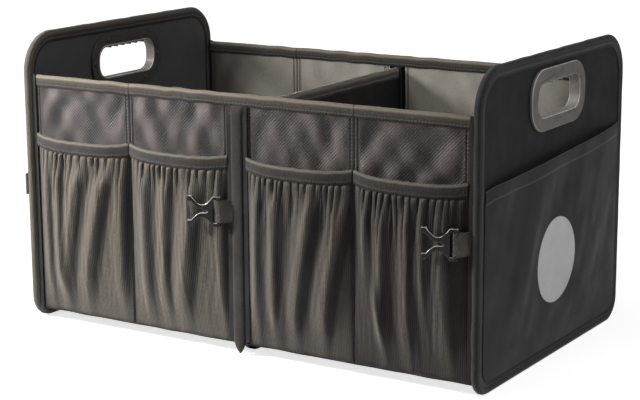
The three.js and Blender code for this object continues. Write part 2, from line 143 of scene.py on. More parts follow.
def travelled(points: Array) -> Array:
    """The way along a line of points, from its first point to each."""
    return np.concatenate([[0], np.cumsum(np.linalg.norm(np.diff(points, axis=0), axis=1))])


@dataclass(frozen=True)
class Waves:
    """Soft irregular folds, a sum of a few waves whose crests run near one direction.

    Attributes:
        length: Distance between crests.
        angle: Direction of the crests, in degrees from the first axis.
        spread: How far single waves turn from that direction, in degrees.
        seed: Picks one set of waves.
        count: Number of waves.
    """

    length: float
    angle: float
    spread: float = 25.0
    seed: int = 1
    count: int = 7

    def at(self, a: Array, b: Array) -> Array:
        """The height of the folds, about from -1 to 1.

        Args:
            a: Places along the first axis.
            b: Places along the second axis.

        Returns:
            One height for each place.
        """
        rng = np.random.RandomState(self.seed)
        total = np.zeros(np.broadcast(a, b).shape)
        for _ in range(self.count):
            turn = math.radians(self.angle + 90 + rng.uniform(-self.spread, self.spread))
            number = 2 * math.pi / (self.length * rng.uniform(0.7, 1.6))
            total += np.sin(number * (a * math.cos(turn) + b * math.sin(turn)) + rng.uniform(0, 6.28))
        return total / math.sqrt(self.count)

    def along(self, a: Array) -> Array:
        """The height of the folds along a line on the first axis."""
        return self.at(a, 0 * a)


class Graph:
    """Adds nodes to one shader tree and joins them."""

    def __init__(self, tree: bpy.types.NodeTree) -> None:
        """Keeps the tree that nodes are added to."""
        self.tree = tree

    @classmethod
    def opened(cls, name: str) -> tuple[Material, "Graph", bpy.types.Node]:
        """Makes a material, and gives it with its graph and its shader."""
        material = bpy.data.materials.new(name)
        material.use_nodes = True
        return material, cls(material.node_tree), material.node_tree.nodes["Principled BSDF"]

    def join(self, node: bpy.types.Node, inputs: dict) -> None:
        """Gives a node its inputs, by name or number, as sockets or as plain values."""
        for key, value in inputs.items():
            if isinstance(value, bpy.types.NodeSocket):
                self.tree.links.new(value, node.inputs[key])
            else:
                node.inputs[key].default_value = value

    def node(self, kind: str, inputs: dict | None = None, **settings: object) -> bpy.types.Node:
        """Adds a node.

        Args:
            kind: The node's type.
            inputs: Values or sockets by the input's name or number.
            settings: The node's own properties.

        Returns:
            The node.
        """
        made = self.tree.nodes.new(kind)
        for key, value in settings.items():
            setattr(made, key, value)
        self.join(made, inputs or {})
        return made

    def math(self, operation: str, *values: Socket | float) -> Socket:
        """Adds a Math node and gives its result."""
        return self.node("ShaderNodeMath", dict(enumerate(values)), operation=operation).outputs[0]

    def times(self, *values: Socket | float) -> Socket:
        """Multiplies two values."""
        return self.math("MULTIPLY", *values)

    def clamp(self, value: Socket) -> Socket:
        """Keeps a value from 0 to 1."""
        return self.node("ShaderNodeClamp", {0: value}).outputs[0]

    def mix(self, factor: Socket | float, a: Socket | Colour, b: Socket | Colour) -> Socket:
        """Mixes two colours and gives the result."""
        return self.node("ShaderNodeMix", {0: factor, 6: a, 7: b}, data_type="RGBA").outputs[2]

    def span(self, value: Socket, *ends: float, kind: str = "SMOOTHSTEP") -> Socket:
        """Maps a value smoothly from low..high to 0..1, or to start..end if they follow low and high."""
        inputs = dict(enumerate([value, *ends, *(0.0, 1.0)[:4 - len(ends)]]))
        return self.node("ShaderNodeMapRange", inputs, interpolation_type=kind).outputs[0]

    def noise(self, vector: Socket, scale: Socket | float, detail: float = 2.0,
              rough: float = 0.5) -> Socket:
        """Adds a Noise Texture and gives its value."""
        inputs = {"Vector": vector, "Scale": scale, "Detail": detail, "Roughness": rough}
        return self.node("ShaderNodeTexNoise", inputs).outputs[0]

    def bump(self, distance: float, height: Socket, **more: Socket) -> Socket:
        """Adds a Bump node and gives its normal."""
        inputs = {"Strength": 1.0, "Distance": distance, "Height": height, **more}
        return self.node("ShaderNodeBump", inputs).outputs[0]

    def axes(self, vector: Socket) -> Sequence[Socket]:
        """Takes a vector apart."""
        return self.node("ShaderNodeSeparateXYZ", {0: vector}).outputs[:]

    def place(self) -> Socket:
        """The place on the object."""
        return self.node("ShaderNodeTexCoord").outputs["Object"]


class Effects:
    """The shader node groups that more than one finish uses, each built once."""

    _made: dict[str, bpy.types.NodeTree] = {}

    @classmethod
    def place(cls, graph: Graph, name: str, vector: Socket, **values: float) -> dict[str, Socket]:
        """Puts a group into a material, and builds the group first if it is new.

        Args:
            graph: The material's graph.
            name: Name of the effect.
            vector: The place of the pattern.
            values: Values by input name.

        Returns:
            The group's outputs by name.
        """
        if name not in cls._made:
            cls._made[name] = cls._group(name, values)
        node = graph.node("ShaderNodeGroup", {"Vector": vector, **values}, node_tree=cls._made[name])
        return {socket.name: socket for socket in node.outputs}

    @classmethod
    def _group(cls, name: str, words: Sequence[str]) -> bpy.types.NodeTree:
        """Builds a group with a Vector input, one input for each word and its effect's outputs."""
        tree = bpy.data.node_groups.new(name, "ShaderNodeTree")
        tree.interface.new_socket("Vector", in_out="INPUT", socket_type="NodeSocketVector")
        for word in words:
            tree.interface.new_socket(word, in_out="INPUT", socket_type="NodeSocketFloat")
        graph = Graph(tree)
        given = [socket for socket in graph.node("NodeGroupInput").outputs if socket.name]
        results = getattr(cls, "_" + name)(graph, *given)
        for word in results:
            tree.interface.new_socket(word, in_out="OUTPUT", socket_type="NodeSocketFloat")
        graph.node("NodeGroupOutput", results)
        return tree

    @staticmethod
    def _woven(graph: Graph, place: Socket, pitch: Socket) -> dict[str, Socket]:
        """Yarns that cross."""
        first, second, _ = graph.axes(place)
        turns = graph.math("DIVIDE", 2 * math.pi, pitch)
        wobble = graph.noise(place, 90.0, 1.0)
        turned = [graph.math("MULTIPLY_ADD", axis, turns, wobble) for axis in (first, second)]
        plain = graph.times(*(graph.math("SINE", value) for value in turned))
        yarn = graph.noise(place, graph.math("DIVIDE", 0.55, pitch), 2.0, 0.6)
        height = graph.math("MULTIPLY_ADD", plain, 0.45, yarn)
        return {"Height": height, "Shade": graph.span(height, 0.15, 0.85)}

    @staticmethod
    def _ribbed(graph: Graph, place: Socket, pitch: Socket) -> dict[str, Socket]:
        """Round ribs across the first axis, with uneven yarns."""
        wobble = graph.times(graph.noise(place, 60.0, 1.0), 1.2)
        turns = graph.math("DIVIDE", math.pi, pitch)
        wave = graph.math("SINE", graph.math("MULTIPLY_ADD", graph.axes(place)[0], turns, wobble))
        yarn = graph.times(graph.noise(place, graph.math("DIVIDE", 0.8, pitch), 2.0, 0.6), 0.6)
        height = graph.math("MULTIPLY_ADD", graph.math("ABSOLUTE", wave), 0.7, yarn)
        return {"Height": height, "Shade": graph.span(height, 0.2, 1.1)}

    @staticmethod
    def _patches(graph: Graph, place: Socket, size: Socket) -> dict[str, Socket]:
        """Large soft patches, for uneven gloss and tone, and for a painted sheen in the cloths' colour."""
        return {"Value": graph.span(graph.noise(place, graph.math("DIVIDE", 1.0, size), 3.0), 0.32, 0.68)}

    @staticmethod
    def _specks(graph: Graph, place: Socket, size: Socket, amount: Socket) -> dict[str, Socket]:
        """Small pale specks of lint and dust."""
        grains = graph.noise(place, graph.math("DIVIDE", 1.0, size), 1.0)
        over = graph.math("SUBTRACT", grains, graph.math("SUBTRACT", 0.86, amount))
        return {"Mask": graph.clamp(graph.times(over, 9.0))}

    @staticmethod
    def _stitched(graph: Graph, place: Socket, line: Socket, pitch: Socket) -> dict[str, Socket]:
        """A row of stitches at the distance Line from the map's first axis, on both sides of it."""
        along, across, _ = graph.axes(place)
        away = graph.math("ABSOLUTE", graph.math("SUBTRACT", graph.math("ABSOLUTE", across), line))
        step = graph.math("FRACT", graph.math("DIVIDE", along, pitch))
        dash = graph.span(graph.math("ABSOLUTE", graph.math("SUBTRACT", step, 0.5)), 0.42, 0.3)
        thread = graph.times(dash, graph.span(away, 1.1 * MM, 0.4 * MM))
        return {"Thread": thread, "Groove": graph.span(away, 2.2 * MM, 0.4 * MM)}

    @staticmethod
    def _wear_and_highlight(graph: Graph, place: Socket, reach: Socket) -> dict[str, Socket]:
        """Wear and a painted highlight along the map's first axis, within the distance Reach of it."""
        near = graph.math("DIVIDE", graph.math("ABSOLUTE", graph.axes(place)[1]), reach)
        grains = graph.span(graph.noise(place, 900.0, 2.0, 0.7), 0.3, 0.62, 0.25, 1.0)
        return {"Mask": graph.times(graph.span(near, 1.0, 0.25), grains)}


@dataclass(frozen=True)
class ClothFinish:
    """A woven cloth or tape.

    Attributes:
        name: The finish's name.
        slot: The record's material slot; not used.
        colour: Colour of the cloth, 0 to 255.
        weave: How it is woven.
        pitch: Distance between yarns or ribs.
        relief: Height of the yarns.
        roughness: Roughness between the patches of sheen.
        sheen: Weight of the soft sheen.
        shade: How much darker the gaps between the yarns are.
        uneven: How much the colour and gloss change from patch to patch; the colour's lighter patches are
            partly a painted sheen.
        specks: Amount of pale specks.
        plane: Where the pattern lies.
        line: Distance of a row of stitches from the map's first axis, or 0.
        wear_and_highlight: Reach of the wear and the painted highlight along the map's first axis, or 0.
        waves: Height of the soft waves of a loose cover, or 0.
        glow: How many times brighter than the cloth its painted highlight is, where the shade attribute is
            below zero.
    """

    name: str
    slot: str
    colour: tuple[int, int, int]
    weave: Weave = Weave.PLAIN
    pitch: float = 1.2 * MM
    relief: float = 0.25 * MM
    roughness: float = 0.75
    sheen: float = 0.3
    shade: float = 0.45
    uneven: float = 0.25
    specks: float = 0.1
    plane: Plane = Plane.MAP
    line: float = 0.0
    wear_and_highlight: float = 0.0
    waves: float = 0.0
    glow: float = 1.9

    def _vector(self, graph: Graph) -> Socket:
        """The place of the pattern."""
        if self.plane is Plane.MAP:
            return graph.node("ShaderNodeUVMap", uv_map=UV_NAME).outputs[0]
        parts = graph.axes(graph.place())
        first, second = (parts[axis] for axis in self.plane.value)
        return graph.node("ShaderNodeCombineXYZ", {0: first, 1: second}).outputs[0]

    def build(self) -> Material:
        """Makes the material."""
        material, graph, shader = Graph.opened(self.name)
        vector = self._vector(graph)
        yarns = Effects.place(graph, self.weave.value, vector, Pitch=self.pitch)
        patch = Effects.place(graph, "patches", vector, Size=50 * MM)["Value"]
        fine = Effects.place(graph, "patches", vector, Size=4 * MM)["Value"]
        speck = Effects.place(graph, "specks", vector, Size=1.2 * MM, Amount=self.specks)["Mask"]
        base = linear(self.colour)
        dark, pale = scaled(base, 1 - self.shade), scaled(base, 3.2, 0.03)
        tone = graph.math("MULTIPLY_ADD", yarns["Shade"], 0.7, graph.times(fine, 0.3))
        colour = graph.mix(tone, dark, scaled(base, 1 + 0.5 * self.shade))
        # Random tone and painted sheen: large patches lighten the colour.
        tone_and_sheen = graph.times(patch, 0.6 * min(1.0, 2 * self.uneven))
        colour = graph.mix(tone_and_sheen, colour, scaled(base, 1 + self.uneven))
        colour = graph.mix(graph.times(speck, 0.5), colour, pale)
        height = yarns["Height"]
        # Wear and painted highlight: a pale, uneven band along the tape's fold, and along the end pocket's
        # top edge, where the map's first axis runs.
        if self.wear_and_highlight:
            wear_and_highlight_mask = Effects.place(graph, "wear_and_highlight", vector, Reach=self.wear_and_highlight)["Mask"]
            colour = graph.mix(graph.times(wear_and_highlight_mask, 0.9), colour, pale)
        if self.line:
            row = Effects.place(graph, "stitched", vector, Line=self.line, Pitch=4 * MM)
            colour = graph.mix(graph.times(row["Groove"], 0.55), colour, dark)
            colour = graph.mix(graph.times(row["Thread"], 0.8), colour, pale)
            height = graph.math("SUBTRACT", height, graph.times(row["Groove"], 1.5))
            height = graph.math("ADD", height, row["Thread"])
        # Painted shade and highlight: where the shade attribute is above zero the colour darkens towards a
        # near-black copy, and where it is below zero it lightens by glow times.
        shade = graph.node("ShaderNodeAttribute", attribute_name=SHADE_NAME).outputs["Fac"]
        raised = graph.clamp(graph.times(shade, -1.0))
        colour = graph.mix(graph.times(graph.clamp(shade), 0.9), colour, scaled(base, 0.12))
        colour = graph.mix(graph.times(raised, 0.8), colour, scaled(base, self.glow))
        low, high = self.roughness - 0.5 * self.uneven, min(1.0, self.roughness + 0.3 * self.uneven)
        under = {}
        if self.waves:
            stretched = graph.node("ShaderNodeMapping", {0: vector, 3: (1.0, 0.45, 1.0)}).outputs[0]
            under["Normal"] = graph.bump(self.waves, graph.noise(stretched, 14.0))
        graph.join(shader, {
            "Base Color": colour,
            "Roughness": graph.span(patch, 0.0, 1.0, high, low, kind="LINEAR"),
            "Sheen Weight": self.sheen,
            "Sheen Roughness": 0.4,
            "Specular IOR Level": 0.35,
            "Normal": graph.bump(self.relief, height, **under),
        })
        return material


@dataclass(frozen=True)
class PlasticFinish:
    """A moulded plastic.

    Attributes:
        name: The finish's name.
        slot: The record's material slot; not used.
        colour: Colour of the plastic, 0 to 255.
        roughness: Mean roughness.
        grain: Height of the moulded grain.
        coat: Weight of a clear gloss.
        rim: How strongly places that face up get a pale painted highlight, with a little wear in it, from 0
            to 1.
    """

    name: str
    slot: str
    colour: tuple[int, int, int]
    roughness: float = 0.4
    grain: float = 0.05 * MM
    coat: float = 0.0
    rim: float = 0.0

    def build(self) -> Material:
        """Makes the material."""
        material, graph, shader = Graph.opened(self.name)
        place = graph.place()
        patch = Effects.place(graph, "patches", place, Size=12 * MM)["Value"]
        speck = Effects.place(graph, "specks", place, Size=1.5 * MM, Amount=0.12)["Mask"]
        base = linear(self.colour)
        colour = graph.mix(patch, base, scaled(base, 1.25, 0.004))
        colour = graph.mix(graph.times(speck, 0.4), colour, scaled(base, 1.8, 0.02))
        # Painted highlight, with a little wear: places that face up are mixed unevenly towards a pale
        # colour, as if lit from above.
        normal = graph.node("ShaderNodeNewGeometry").outputs["Normal"]
        upward = graph.span(graph.axes(normal)[2], 0.0, 0.6)
        uneven = graph.span(graph.noise(place, 160.0), 0.3, 0.6, 0.35, 1.0)
        wear_and_highlight_mask = graph.times(graph.times(upward, uneven), self.rim)
        low, high = self.roughness * 0.8, min(1.0, self.roughness * 1.25)
        graph.join(shader, {
            "Base Color": graph.mix(wear_and_highlight_mask, colour, linear((215, 211, 205))),
            "Roughness": graph.span(patch, 0.0, 1.0, low, high, kind="LINEAR"),
            "Coat Weight": self.coat,
            "Coat Roughness": 0.15,
            "Normal": graph.bump(self.grain, graph.noise(place, 1500.0)),
        })
        return material


@dataclass(frozen=True)
class ReflectorFinish:
    """A grey reflecting film of small cells, a little scuffed.

    Attributes:
        name: The finish's name.
        slot: The record's material slot; not used.
        colour: Colour of the film, 0 to 255.
        cell: Size of one cell.
    """

    name: str
    slot: str
    colour: tuple[int, int, int]
    cell: float = 1.6 * MM

    def build(self) -> Material:
        """Makes the material."""
        material, graph, shader = Graph.opened(self.name)
        place = graph.place()
        inputs = {"Vector": place, "Scale": 1 / self.cell, "Randomness": 0.35}
        edge = graph.span(graph.node("ShaderNodeTexVoronoi", inputs).outputs["Distance"], 0.2, 0.62)
        patch = Effects.place(graph, "patches", place, Size=20 * MM)["Value"]
        base = linear(self.colour)
        dull = scaled(base, 0.78)
        colour = graph.mix(graph.times(edge, 0.5), base, dull)
        graph.join(shader, {
            "Base Color": graph.mix(graph.times(patch, 0.35), colour, dull),
            "Roughness": graph.span(patch, 0.0, 1.0, 0.3, 0.48),
            "Metallic": 0.12,
            "Normal": graph.bump(0.08 * MM, edge),
        })
        return material


Finish = ClothFinish | PlasticFinish | ReflectorFinish


class Finishes:
    """Every finish of the box, made into a material when it is first used."""

    wall = ClothFinish("wall cloth", "wall_cloth", (68, 62, 60), Weave.PLAIN, 4.0 * MM, 0.5 * MM, 0.55, 0.35,
                       0.75, 0.4, glow=2.4)
    lining = ClothFinish("wall lining", "wall_cloth", (156, 150, 140), relief=0.1 * MM, roughness=0.45,
                         shade=0.2, waves=3.0 * MM)
    floor = ClothFinish("bottom cloth", "wall_cloth", (60, 57, 54), pitch=1.4 * MM)
    mat = ClothFinish("base mat cloth", "base_cloth", (48, 46, 46), pitch=1.4 * MM, plane=Plane.XY)
    webbing = ClothFinish("webbing", "webbing", (90, 86, 80), pitch=3.4 * MM, relief=0.6 * MM,
                          roughness=0.85, shade=0.85)
    pocket = ClothFinish("gathered cloth", "pocket_cloth", (84, 77, 69), Weave.RIBBED, 2.6 * MM, 0.45 * MM,
                         0.75, 0.35, 0.6)
    end = ClothFinish("end cloth", "end_cloth", (22, 21, 23), Weave.PLAIN, 0.9 * MM, 0.12 * MM, 0.5, 0.15,
                      0.3, plane=Plane.YZ, waves=3.0 * MM)
    # A much lighter copy of the end cloth for the left end: painted light, as more light falls on the left
    # end.
    left_end = replace(end, name="left end cloth", colour=(86, 85, 86))
    end_pocket = replace(end, name="end pocket cloth", colour=(44, 42, 42), roughness=0.45, sheen=0.2,
                         plane=Plane.MAP, waves=0.0, line=14.0 * MM, wear_and_highlight=1.8 * MM)
    tape = ClothFinish("binding tape", "edge_tape", (70, 64, 56), Weave.RIBBED, 1.6 * MM, 0.4 * MM, 0.85,
                       0.4, 0.7, line=12.2 * MM, wear_and_highlight=6.5 * MM, specks=0.25, glow=5.0)
    hem = replace(tape, name="elastic hem", colour=(50, 46, 41), line=13.0 * MM, wear_and_highlight=4.5 * MM, glow=6.5)
    # Copies of the binding tape for the end panels: the left one lighter, the right one near black, as
    # painted light and painted shade for how much light falls on each end.
    left_tape = replace(tape, name="left edge tape", colour=(58, 53, 46), relief=0.35 * MM, sheen=0.35,
                        shade=0.6, wear_and_highlight=5.0 * MM, specks=0.2, glow=3.5)
    right_tape = replace(left_tape, name="right edge tape", colour=(26, 25, 24), roughness=0.8, sheen=0.3,
                         wear_and_highlight=4.0 * MM)
    seam = replace(left_tape, name="seam tape", colour=(44, 40, 36), line=0.0, wear_and_highlight=0.0, glow=1.9)
    corner = replace(seam, name="corner tape", colour=(36, 33, 30), relief=0.3 * MM, shade=0.45,
                     plane=Plane.XZ, specks=0.15)
    grip = PlasticFinish("grip plastic", "grip_plastic", (122, 117, 112), 0.36)
    # Paler copies for the rounded edges: partly wear, partly a painted highlight, which is strongest where
    # they face up.
    grip_edge = replace(grip, name="rubbed grip edge", colour=(170, 165, 159), roughness=0.26, rim=1.0)
    backing = replace(grip, name="grip backing plastic", colour=(66, 64, 62), roughness=0.45)
    buckle = PlasticFinish("buckle plastic", "buckle_plastic", (15, 13, 12), 0.26, 0.02 * MM, 0.3)
    buckle_edge = replace(buckle, name="rubbed buckle edge", colour=(46, 43, 41), roughness=0.2, rim=0.9)
    # The film's near-white colour, with little metallic, stands partly for its reflection: a painted
    # reflection.
    reflector = ReflectorFinish("reflecting film", "reflector", (250, 250, 250))
    _made: dict[str, Material] = {}

    @classmethod
    def made(cls, finish: Finish) -> Material:
        """The finish's material."""
        if finish.name not in cls._made:
            cls._made[finish.name] = finish.build()
        return cls._made[finish.name]

    @classmethod
    def dress(cls, piece: Piece, finish: Finish, edge: Finish | None = None) -> None:
        """Gives a piece its finish, with another one on its rounded edges."""
        if not piece.data.materials:
            piece.data.materials.append(None)
        for place in piece.material_slots:
            place.link = "OBJECT"
            place.material = cls.made(finish)
        if edge:
            piece.data.materials.append(cls.made(edge))
            piece.modifiers["bevel"].material = len(piece.material_slots) - 1

    @classmethod
    def line(cls, piece: Piece, finish: ClothFinish, faces: range) -> None:
        """Gives some faces of a dressed piece a second finish."""
        piece.data.materials.append(cls.made(finish))
        for index in faces:
            piece.data.polygons[index].material_index = 1


class Workshop:
    """Makes mesh pieces from grids of points, and finishes them."""

    @staticmethod
    def choose(piece: Piece) -> None:
        """Selects one piece alone and makes it active."""
        bpy.ops.object.select_all(action="DESELECT")
        piece.select_set(True)
        bpy.context.view_layer.objects.active = piece

    @staticmethod
    def mount(piece: Piece, body: str) -> None:
        """Puts a piece on its body."""
        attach(piece, body)
        LOG.info("%s on %s", piece.name, body)

    @staticmethod
    def _quads(rows: int, columns: int, around: int, flip: bool) -> tuple[Array, list]:
        """The corners of a grid's faces, as vertex numbers and as rows and columns."""
        r, c = np.meshgrid(np.arange(rows - 1), np.arange(columns - 1), indexing="ij")
        corners = [(r, c), (r, c + 1), (r + 1, c + 1), (r + 1, c)]
        if flip:
            corners.reverse()
        faces = np.stack([a * around + b % around for a, b in corners], -1).reshape(-1, 4)
        return faces, corners

    @staticmethod
    def _piece(name: str, vertices: Array, faces: list, uv: Array, shade: Array | None) -> Piece:
        """A mesh object with its own map and shade, linked to the scene."""
        mesh = bpy.data.meshes.new(name)
        mesh.from_pydata(vertices.tolist(), [], faces)
        layer = mesh.uv_layers.new(name=UV_NAME)
        layer.data.foreach_set("uv", uv.astype(np.float32).ravel())
        if shade is not None:
            values = mesh.attributes.new(SHADE_NAME, "FLOAT", "POINT")
            values.data.foreach_set("value", shade.astype(np.float32).ravel())
        mesh.validate()
        piece = bpy.data.objects.new(name, mesh)
        bpy.context.scene.collection.objects.link(piece)
        return piece

    @classmethod
    def sheet(cls, name: str, points: Array, uv: Array, shade: Array | None = None, closed: bool = False,
              flip: bool = False) -> Piece:
        """Makes an open sheet.

        Args:
            name: The piece's name.
            points: Rows and columns of places.
            uv: The map's place of each point, in metres.
            shade: How much painted shade darkens each point, or with a minus how much painted highlight
                lightens it.
            closed: Whether the last column lies on the first.
            flip: Whether the faces turn the other way.

        Returns:
            The piece.
        """
        rows, columns = points.shape[:2]
        around = columns - 1 if closed else columns
        faces, corners = cls._quads(rows, columns, around, flip)
        loops = np.stack([uv[a, b] for a, b in corners], 2)
        shade = None if shade is None else shade[:, :around]
        return cls._piece(name, points[:, :around].reshape(-1, 3), faces.tolist(), loops, shade)

    @classmethod
    def shell(cls, name: str, outer: Array, inner: Array, uv: Array, shade: Array) -> Piece:
        """Makes a closed thin body.

        Args:
            name: The piece's name.
            outer: Rows and columns of places on its outer face.
            inner: The same on its inner face.
            uv: The map's place of each point of both, in metres.
            shade: The painted shade of each point of the outer and the inner face, or with a minus its
                painted highlight.

        Returns:
            The piece.
        """
        rows, columns = outer.shape[:2]
        layer = rows * columns
        front, corners = cls._quads(rows, columns, columns, False)
        back, turned = cls._quads(rows, columns, columns, True)
        rim = list(range(columns)) + [r * columns + columns - 1 for r in range(1, rows)]
        rim += [layer - columns + c for c in range(columns - 2, -1, -1)]
        rim += [r * columns for r in range(rows - 2, 0, -1)]
        pairs = list(zip(rim, rim[1:] + rim[:1]))
        band = [[b, a, layer + a, layer + b] for a, b in pairs]
        flat = uv.reshape(-1, 2)
        maps = [np.stack([uv[a, b] for a, b in c], 2).reshape(-1, 2) for c in (corners, turned)]
        maps.append(np.array([flat[[b, a, a, b]] for a, b in pairs]).reshape(-1, 2))
        vertices = np.concatenate([outer.reshape(-1, 3), inner.reshape(-1, 3)])
        faces = front.tolist() + (back + layer).tolist() + band
        piece = cls._piece(name, vertices, faces, np.concatenate(maps), shade)
        cls.face_outwards(piece)
        return piece

    @classmethod
    def face_outwards(cls, piece: Piece) -> None:
        """Turns every face of a closed piece outwards."""
        cls.choose(piece)
        bpy.ops.object.mode_set(mode="EDIT")
        bpy.ops.mesh.select_all(action="SELECT")
        bpy.ops.mesh.normals_make_consistent(inside=False)
        bpy.ops.object.mode_set(mode="OBJECT")

    @classmethod
    def cap(cls, piece: Piece, first: int, count: int) -> None:
        """Closes the hole whose rim is the given run of points."""
        cls.choose(piece)
        bpy.ops.object.mode_set(mode="EDIT")
        bpy.ops.mesh.select_mode(type="VERT")
        bpy.ops.mesh.select_all(action="DESELECT")
        bpy.ops.object.mode_set(mode="OBJECT")
        for vertex in piece.data.vertices[first:first + count]:
            vertex.select = True
        bpy.ops.object.mode_set(mode="EDIT")
        bpy.ops.mesh.edge_face_add()
        bpy.ops.object.mode_set(mode="OBJECT")

    @classmethod
    def thicken(cls, piece: Piece, thickness: float, angle: float = 50.0, offset: float = -1.0) -> None:
        """Gives a sheet its thickness and smooths it.

        Args:
            piece: The sheet.
            thickness: Its thickness.
            angle: Edges sharper than this, in degrees, stay sharp.
            offset: -1 for a thickness inwards, 0 for one to both sides.
        """
        cls.choose(piece)
        solid = piece.modifiers.new("solidify", "SOLIDIFY")
        solid.thickness = thickness
        solid.offset = offset
        bpy.ops.object.modifier_apply(modifier=solid.name)
        cls.smooth(piece, angle)

    @classmethod
    def smooth(cls, piece: Piece, angle: float) -> None:
        """Shades a piece smooth, with edges sharper than the angle left sharp."""
        cls.choose(piece)
        bpy.ops.object.shade_smooth_by_angle(angle=math.radians(angle))

    @staticmethod
    def soften(node: str, width: float, segments: int = 2) -> Piece:
        """Rounds the edges of a carried-over CAD node with live modifiers."""
        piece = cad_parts[node]
        weld = piece.modifiers.new("weld", "WELD")
        weld.merge_threshold = 0.01 * MM
        bevel = piece.modifiers.new("bevel", "BEVEL")
        bevel.width = width
        bevel.segments = segments
        bevel.limit_method = "ANGLE"
        bevel.angle_limit = math.radians(35)
        bevel.use_clamp_overlap = False
        piece.modifiers.new("normals", "WEIGHTED_NORMAL")
        return piece


@dataclass(frozen=True)
class Binding:
    """A tape folded over an edge, swept along a line.

    Attributes:
        half: Half of its thickness over both flanges.
        drop: Depth of the flanges.
        cloth: Thickness of the tape.
        pinch: How far its stitches pull it in.
        finish: The tape's finish.
    """

    half: float
    drop: float
    cloth: float = 0.8 * MM
    pinch: float = 0.45 * MM
    finish: ClothFinish = Finishes.tape

    def _profile(self) -> tuple[Array, Array, Array]:
        """Across and up of the section from the outer to the inner edge, and the way from the fold."""
        flange = np.linspace(0, 1, 9)[:-1]
        turn = np.linspace(0, math.pi, 11)
        pillow = self.half - self.pinch * hump(flange - 0.15, 0.14) - 0.3 * MM * hump(flange, 0.1)
        rise = -self.drop + (self.drop - self.half) * flange
        across = np.concatenate([pillow, self.half * np.cos(turn), -pillow[::-1]])
        up = np.concatenate([rise, self.half * (np.sin(turn) - 1), rise[::-1]])
        way = travelled(np.stack([across, up], -1))
        return across, up, way - way[len(flange) + len(turn) // 2]

    def sweep(self, name: str, spine: Array, rise: Array, outward: Array, closed: bool = False) -> Piece:
        """Sweeps the tape.

        Args:
            name: The piece's name.
            spine: Places of the fold's top along the tape.
            rise: The way from the board to the fold at each place.
            outward: The way to the outer flange at each place.
            closed: Whether the spine's last place is its first.

        Returns:
            The tape.
        """
        across, up, way = self._profile()
        points = spine[None] + across[:, None, None] * outward[None] + up[:, None, None] * rise[None]
        uv = np.stack(np.broadcast_arrays(travelled(spine)[None], way[:, None]), -1)
        flip = float(np.dot(np.cross(spine[1] - spine[0], rise[0]), outward[0])) < 0
        # Painted shade and highlight: darker at the tape's two edges and over its flanges, and a painted
        # highlight along both shoulders of its fold.
        ends = np.minimum(np.arange(len(way)), np.arange(len(way))[::-1])
        edge = 1.45 * self.half
        wear_and_highlight = hump(np.abs(way) - edge, 0.5 * self.half)
        shade = hump(ends, 1.5) - wear_and_highlight + 0.3 * ease(2 * edge, 3 * edge, np.abs(way))
        shade = np.broadcast_to(shade[:, None], points.shape[:2])
        piece = Workshop.sheet(name, points, uv, shade, closed, flip)
        Workshop.thicken(piece, self.cloth)
        Finishes.dress(piece, self.finish)
        return piece

    @classmethod
    def straight(cls, name: str, node: str, way: int, count: int, waves: Waves | None = None, axis: int = 0,
                 ends: tuple[float, float] | None = None) -> Piece:
        """Sweeps a straight tape with the section of a CAD node.

        Args:
            name: The piece's name.
            node: The node that gives its size and place.
            way: The way along the other axis that its outer flange lies, 1 or -1.
            count: Number of places along it.
            waves: How its top wanders up and down.
            axis: 0 for a tape along X, 1 for one along Y.
            ends: Where it starts and ends, if not with the node.

        Returns:
            The tape.
        """
        low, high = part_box(node)
        other = 1 - axis
        along = np.linspace(*(ends or (low[axis], high[axis])), count)
        spine = np.full((count, 3), (low[other] + high[other]) / 2)
        spine[:, axis] = along
        spine[:, 2] = high[2] - 0.3 * MM + (0.3 * MM * waves.along(along) if waves else 0.0)
        rise, outward = np.zeros_like(spine), np.zeros_like(spine)
        rise[:, 2] = 1.0
        outward[:, other] = way
        return cls((high[other] - low[other]) / 2, high[2] - low[2]).sweep(name, spine, rise, outward)


